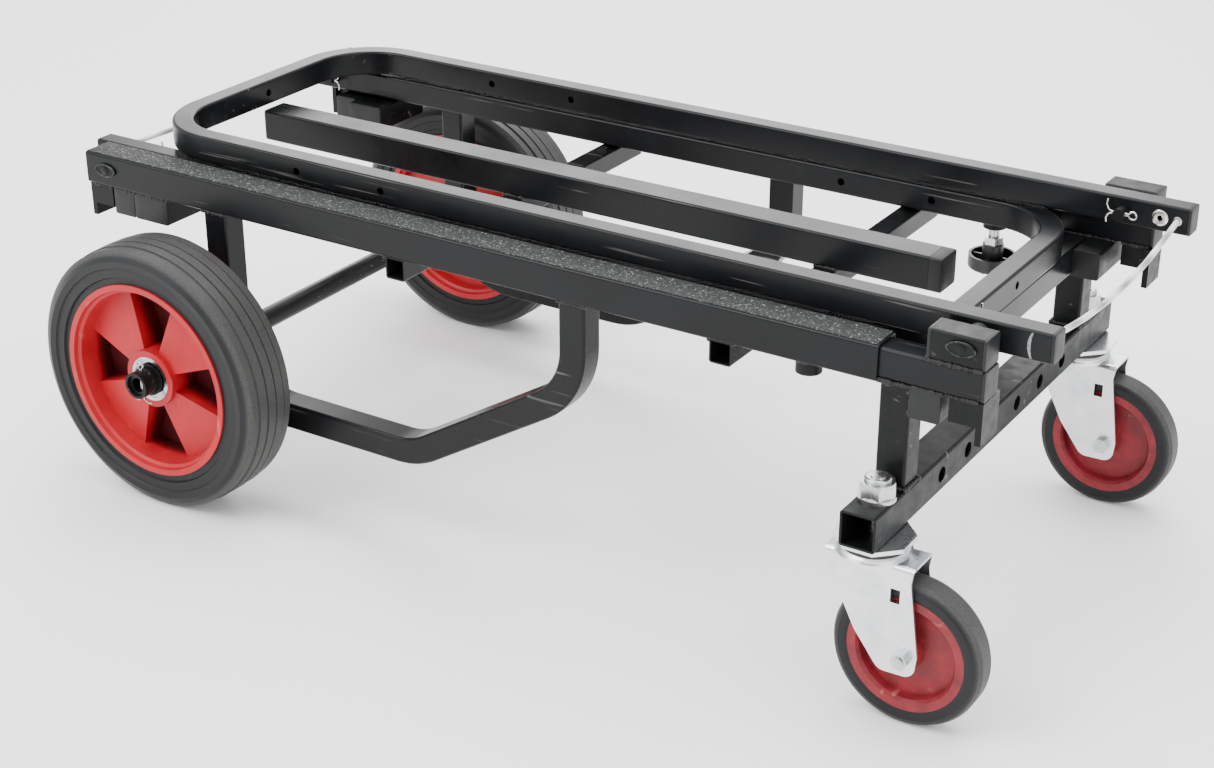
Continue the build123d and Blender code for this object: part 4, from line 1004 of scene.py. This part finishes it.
@dataclass
class SplitPins:
    """Split pins of doubled wire: a round eye, a straight shank and two spread legs."""

    wire: float = 0.8
    eye: float = 3.3
    spread: float = 11.0
    pivot_y: float = 130.5
    pivot_reach: float = 8.0       # half the length of a shank
    axle_y: float = 273.0
    axle_reach: float = 14.0

    def path(self, middle: Vector, ahead: Vector, up: Vector, reach: float) -> Line:
        """Centreline of one pin.

        Args:
            middle: the middle of its shank.
            ahead: direction from the shank to the eye.
            up: direction of one leg's spread.
            reach: half the length of its shank, in millimetres.

        Returns:
            Its points, from one leg's end to the other's.
        """
        gap = self.wire * 0.95

        def spot(along: float, across: float) -> Vector:
            """Point of the pin's own plane, in metres."""
            return middle + (ahead * along + up * across) * MM

        leg = [(-reach - 3.0, self.spread), (-reach - 3.6, self.spread * 0.6),
               (-reach - 2.4, 3.4), (-reach - 0.9, 1.5), (-reach + 1.0, gap), (0.0, gap)]
        start = math.asin(gap / self.eye)
        loop = []
        for i in range(17):
            angle = math.pi - start - (TURN - 2 * start) * i / 16
            loop.append((reach + self.eye + self.eye * math.cos(angle),
                         self.eye * math.sin(angle)))
        back = [(along, -across * 0.85 if across > 2 else -across)
                for along, across in reversed(leg)]
        return [spot(*place) for place in leg + loop + back]

    def build(self) -> None:
        """Makes the pins of both handles and of the axle's collars."""
        x_way, z_way = Vector((1, 0, 0)), Vector((0, 0, 1))
        jobs = (("front_pins_wire", "front_carriage", "front_split_pins",
                 FRONT_PIVOT, self.pivot_y, x_way, z_way, self.pivot_reach),
                ("rear_pins_wire", "chassis", "rear_split_pins",
                 REAR_PIVOT, self.pivot_y, -x_way, z_way, self.pivot_reach),
                ("axle_pins_wire", "chassis", "axle_split_pins",
                 AXLE, self.axle_y, z_way, x_way, self.axle_reach))
        for name, body, node, (x, z), y, ahead, up, reach in jobs:
            maker = Maker(name)
            for side in Side:
                middle = at(x, side.value * y, z)
                maker.wire(self.path(middle, ahead, up, reach), self.wire, 10)
            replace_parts(maker.piece(ZINC_BOLT, body), node)


@dataclass
class PinHeads:
    """Raised outlines on the pivot pins' oval heads, rubbed bright by handling."""

    half_length: float = 11.4
    half_height: float = 5.0
    rim: float = 0.7
    waist: float = 0.85            # height of the oval near its ends, as a share
    front_face_y: float = 192.9
    rear_face_y: float = 195.4
    boss_radius: float = 4.0
    boss_height: float = 1.0

    def build(self) -> None:
        """Makes the rims and the bosses of all four heads."""
        jobs = (("front_pin_heads", "front_carriage", FRONT_PIVOT, self.front_face_y),
                ("rear_pin_heads", "chassis", REAR_PIVOT, self.rear_face_y))
        for name, body, (x, z), face in jobs:
            rims, bosses = Maker(name + "_rims"), Maker(name + "_bosses")
            for side in Side:
                y = side.value * face
                ring = []
                for i in range(48):
                    angle = TURN * i / 48
                    bulge = self.waist + 0.3 * abs(math.sin(angle)) ** 1.5
                    ring.append(at(x + self.half_length * math.cos(angle), y,
                                   z + self.half_height * bulge * math.sin(angle)))
                rims.wire(ring, self.rim, 8, closed=True)
                out = side.value * self.boss_height
                bosses.turned((x, y, z), (
                    (-0.5 * side.value, self.boss_radius), (0.4 * out, self.boss_radius),
                    (0.8 * out, self.boss_radius * 0.7), (out, 0.0)), 32, closed=False)
            rims.piece(RUBBED_EDGE, body)
            bosses.piece(FITTING_COAT, body)


@dataclass
class EndPlugs:
    """Moulded plugs in the open tube ends: a collar, a rounded edge and a low crown."""

    corner: float = 2.5
    edge: float = 0.9
    root: float = 1.0
    rail_z: float = 283.0
    nose: float = 3.0              # how far a plug stands out of its tube
    flush_nose: float = 0.8        # at the rear ends of the deck rails
    cross_nose: float = 1.6        # of the stubs and rests, which run across the truck
    long_nose: float = 11.8        # at the centre rail's front end

    def outline(self, width: float, height: float, inset: float) -> list[tuple[float, float]]:
        """Rounded rectangle, drawn smaller by inset.

        Args:
            width: full width in millimetres.
            height: full height.
            inset: how far inside it is drawn.

        Returns:
            (across, up) points.
        """
        radius = max(self.corner - inset * 0.5, 0.6)
        w, h = width / 2 - inset - radius, height / 2 - inset - radius
        points = []
        for quarter, (sx, sy) in enumerate(((1, 1), (-1, 1), (-1, -1), (1, -1))):
            for step in range(5):
                angle = (quarter + step / 4) * math.pi / 2
                points.append((sx * w + radius * math.cos(angle),
                               sy * h + radius * math.sin(angle)))
        return points

    def cap(self, maker: Maker, place: Point, way: Vector, width: float, height: float,
            nose: float) -> None:
        """Adds one plug.

        Args:
            maker: the mesh it goes in.
            place: middle of the tube's end, in truck millimetres.
            way: unit vector out of the tube.
            width: the tube's width across the truck, or along it for a cross tube.
            height: the tube's height.
            nose: how far the plug stands out.
        """
        up = Vector((0, 0, 1))
        across = up.cross(way)
        middle = at(*place)
        rings = []
        steps = ((-self.root, 2.6), (0.15, 2.6), (0.15, 0.15), (0.3, 0.0),
                 (nose - self.edge, 0.0), (nose - 0.3 * self.edge, 0.35 * self.edge),
                 (nose - 0.12 * self.edge, self.edge * 1.2),
                 (nose, min(width, height) * 0.32))
        for along, inset in steps:
            rings.append([middle + (way * along + across * a + up * b) * MM
                          for a, b in self.outline(width, height, inset)])
        maker.loops(rings)

    def build(self) -> None:
        """Makes the plugs of each body in place of the plain ones."""
        ahead, left = Vector((1, 0, 0)), Vector((0, 1, 0))
        carriage, handle = Maker("carriage_end_plugs"), Maker("front_handle_end_plugs")
        rear, chassis = Maker("rear_handle_end_plugs"), Maker("chassis_end_plugs")
        rail_z, block_z, nose = self.rail_z, self.rail_z + TUBE, self.nose
        for side in Side:
            y, leg_y = side.value * RAIL_Y, side.value * (LEG_INNER_Y + LEG_WIDTH / 2)
            for maker, place, way, width, height, out in (
                    (carriage, (886.5, y, rail_z), ahead, TUBE, TUBE, nose),
                    (carriage, (885.5, y, block_z), ahead, TUBE, TUBE, nose),
                    (carriage, (844.5, y, block_z), -ahead, TUBE, TUBE, nose),
                    (handle, (924.4, leg_y, FRONT_PIVOT[1]), ahead, LEG_WIDTH, LEG_HEIGHT, nose),
                    (rear, (-17.4, leg_y, REAR_PIVOT[1]), -ahead, LEG_WIDTH, LEG_HEIGHT, nose),
                    (chassis, (0.0, y, rail_z), -ahead, RAIL, RAIL, self.flush_nose)):
                self.cap(maker, place, way, width, height, out)
            outer = RAIL_Y + TUBE / 2
            for maker, x, z, width, length in ((carriage, 844.0, 258.0, TUBE, 59.0),
                                               (chassis, 42.5, 255.5, TUBE, 59.0),
                                               (chassis, 75.0, 255.5, 40.0, 70.0)):
                for y, way in ((outer, side.value), (outer - length, -side.value)):
                    self.cap(maker, (x, side.value * y, z), left * way, width, TUBE,
                             self.cross_nose)
        self.cap(chassis, (763.0, 0.0, rail_z), ahead, RAIL, RAIL, self.long_nose)
        self.cap(chassis, (63.3, 0.0, rail_z), -ahead, RAIL, RAIL, nose)
        for maker, body, node in ((carriage, "front_carriage", "carriage_caps"),
                                  (handle, "front_handle_assembly", "front_handle_plugs"),
                                  (rear, "chassis", "rear_handle_plugs"),
                                  (chassis, "chassis", "frame_caps")):
            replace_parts(maker.piece(MOULDED_PLUG, body), node)


@dataclass
class LegMarks:
    """Curved bands near the front handle's leg ends, rubbed bright by the stop plates."""

    x: float = 907.5
    outer_y: float = 159.0
    low: float = 300.2
    high: float = 320.6
    half_width: float = 1.3
    bow: float = 2.2
    lift: float = 0.08

    def build(self) -> None:
        """Makes one thin band on each leg's outer face."""
        maker = Maker("leg_rub_marks")
        for side in Side:
            rings = []
            for i in range(13):
                share = i / 12
                z = self.low + (self.high - self.low) * share
                x = self.x + self.bow * (2 * share - 1) ** 2
                half = self.half_width * (0.55 + 0.45 * math.sin(math.pi * share))
                y = self.outer_y
                rings.append([at(x + e * half, side.value * (y + f), z)
                              for e, f in ((-1, -0.1), (1, -0.1), (1, self.lift),
                                           (-1, self.lift))])
            maker.loops(rings)
        maker.piece(RUBBED_COAT, "front_handle_assembly")


@dataclass
class Rivets:
    """Hollow rivets and cable eyelets in the inner walls of both handles' legs."""

    rivet_head: float = 7.0
    rivet_bore: float = 2.0
    rivet_height: float = 1.2
    eyelet_head: float = 4.2
    eyelet_bore: float = 2.55
    eyelet_height: float = 1.5

    def lip(self, head: float, bore: float, height: float, way: int
            ) -> list[tuple[float, float]]:
        """Closed outline of a rolled lip round a bore.

        Args:
            head: outer radius.
            bore: inner radius.
            height: how far it stands out.
            way: the sign of y that it faces.

        Returns:
            (along y, radius) points.
        """
        middle = (head + bore) / 2
        shape = ((-1.5, bore), (height * 0.3, bore), (height * 0.8, bore + 0.3),
                 (height, middle * 0.9), (height * 0.85, middle + 0.3 * (head - bore)),
                 (height * 0.4, head), (0.0, head), (0.0, middle), (-1.5, middle))
        return [(way * along, radius) for along, radius in shape]

    def build(self) -> None:
        """Makes the rivets of both handles in place of the plain ones."""
        jobs = (("front_handle_rivets", "front_handle_assembly", "front_handle_eyelets",
                 901.0, 916.0, FRONT_PIVOT[1]),
                ("rear_handle_rivets", "chassis", "rear_handle_eyelets",
                 6.0, -9.0, REAR_PIVOT[1]))
        for name, body, node, rivet_x, cable_x, z in jobs:
            maker = Maker(name)
            for side in Side:
                y, way = side.value * LEG_INNER_Y, -side.value
                maker.turned((rivet_x, y, z), self.lip(
                    self.rivet_head, self.rivet_bore, self.rivet_height, way), 40)
                maker.turned((cable_x, y, z), self.lip(
                    self.eyelet_head, self.eyelet_bore, self.eyelet_height, way), 32)
            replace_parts(maker.piece(NICKEL_RIVET, body), node)


@dataclass
class WeldSpatter:
    """Fine weld spatter on the carriage's sides beside its welds."""

    grain: float = 0.45
    face_y: float = 191.4
    per_square_metre: float = 22000.0
    # x and z ranges on the slide rail, the latch block and the post
    areas: tuple[tuple[float, float, float, float], ...] = (
        (833.0, 884.0, 277.0, 293.0), (864.0, 883.0, 252.0, 269.0),
        (809.0, 829.0, 258.0, 269.0))

    def build(self) -> None:
        """Scatters the spatter over both sides."""
        faces = [[at(x, side.value * self.face_y, z)
                  for x, z in ((x0, z0), (x1, z0), (x1, z1), (x0, z1))]
                 for side in Side for x0, x1, z0, z1 in self.areas]
        Scatter("weld_spatter", WELD_COAT, "front_carriage", seed=23).grains(
            loose_mesh("weld_spatter", faces, filled=True),
            {"Density": self.per_square_metre, "Radius": self.grain * MM})


# ------------------------------------------------------------------------- the studio
@dataclass
class Studio:
    """Pale floor, soft lights and the camera."""

    camera_at: tuple[float, float, float] = (0.9553, -1.5194, 0.9570)
    camera_turn: tuple[float, float, float] = (64.44, 0.0, 32.40)   # degrees
    lens: float = 63.75
    sensor: float = 36.0
    floor_half: float = 40.0
    floor_drop: float = 0.0002     # below the tyres, in metres
    floor_colour: str = "#F1F1F0"
    floor_roughness: float = 0.8
    sky_colour: str = "#FFFFFF"
    sky_strength: float = 1.5
    aim: tuple[float, float, float] = (0.0, 0.0, 0.2)
    # name, place, size, power in watts
    lamps: tuple[tuple[str, tuple[float, float, float], float, float], ...] = (
        ("key", (-1.6, -2.2, 2.9), 2.4, 150.0),
        ("top", (0.3, 0.6, 3.0), 2.6, 120.0),
        ("fill", (2.8, -1.2, 1.2), 2.0, 40.0),
        ("far", (-1.7, 2.9, 1.9), 2.6, 95.0),
    )

    def build_camera(self) -> None:
        """Places the camera and makes it the scene's own."""
        data = bpy.data.cameras.new("camera")
        data.lens = self.lens
        data.sensor_width = self.sensor
        thing = new_thing("camera", data)
        thing.location = self.camera_at
        thing.rotation_euler = [math.radians(a) for a in self.camera_turn]
        bpy.context.scene.camera = thing

    def build_floor(self) -> None:
        """Lays the floor just under the tyres."""
        data = loose_mesh("floor", [[
            Vector((i * self.floor_half, j * self.floor_half, -self.floor_drop))
            for i, j in ((-1, -1), (1, -1), (1, 1), (-1, 1))]], filled=True)
        material = bpy.data.materials.new("pale_floor")
        material.use_nodes = True
        shader = material.node_tree.nodes["Principled BSDF"]
        shader.inputs["Base Color"].default_value = linear(self.floor_colour)
        shader.inputs["Roughness"].default_value = self.floor_roughness
        data.materials.append(material)
        new_thing("floor", data)

    def build_lights(self) -> None:
        """Sets the even surroundings and the soft lamps, all aimed at the truck."""
        world = bpy.data.worlds.new("surroundings")
        world.use_nodes = True
        sky = world.node_tree.nodes["Background"]
        sky.inputs["Color"].default_value = linear(self.sky_colour)
        sky.inputs["Strength"].default_value = self.sky_strength
        bpy.context.scene.world = world
        for name, place, size, power in self.lamps:
            data = bpy.data.lights.new(name, "AREA")
            data.size = size
            data.energy = power
            thing = new_thing(name, data)
            thing.location = place
            aim = Vector(self.aim) - Vector(place)
            thing.rotation_euler = aim.to_track_quat("-Z", "Y").to_euler()

    def build(self) -> None:
        """Sets up the whole studio."""
        self.build_camera()
        self.build_floor()
        self.build_lights()


def main() -> None:
    """Builds the studio, then the truck's pieces in order."""
    logging.basicConfig(level=logging.INFO, format="%(message)s")
    Studio().build()
    for cable in CABLES:
        cable.build()
    CarriedPieces().dress()
    WeldedFrame().weld()
    GripStrips().build()
    for pieces in (SplitPins(), PinHeads(), EndPlugs(), LegMarks(), Rivets(), WeldSpatter()):
        pieces.build()


if __name__ == "__main__":
    main()
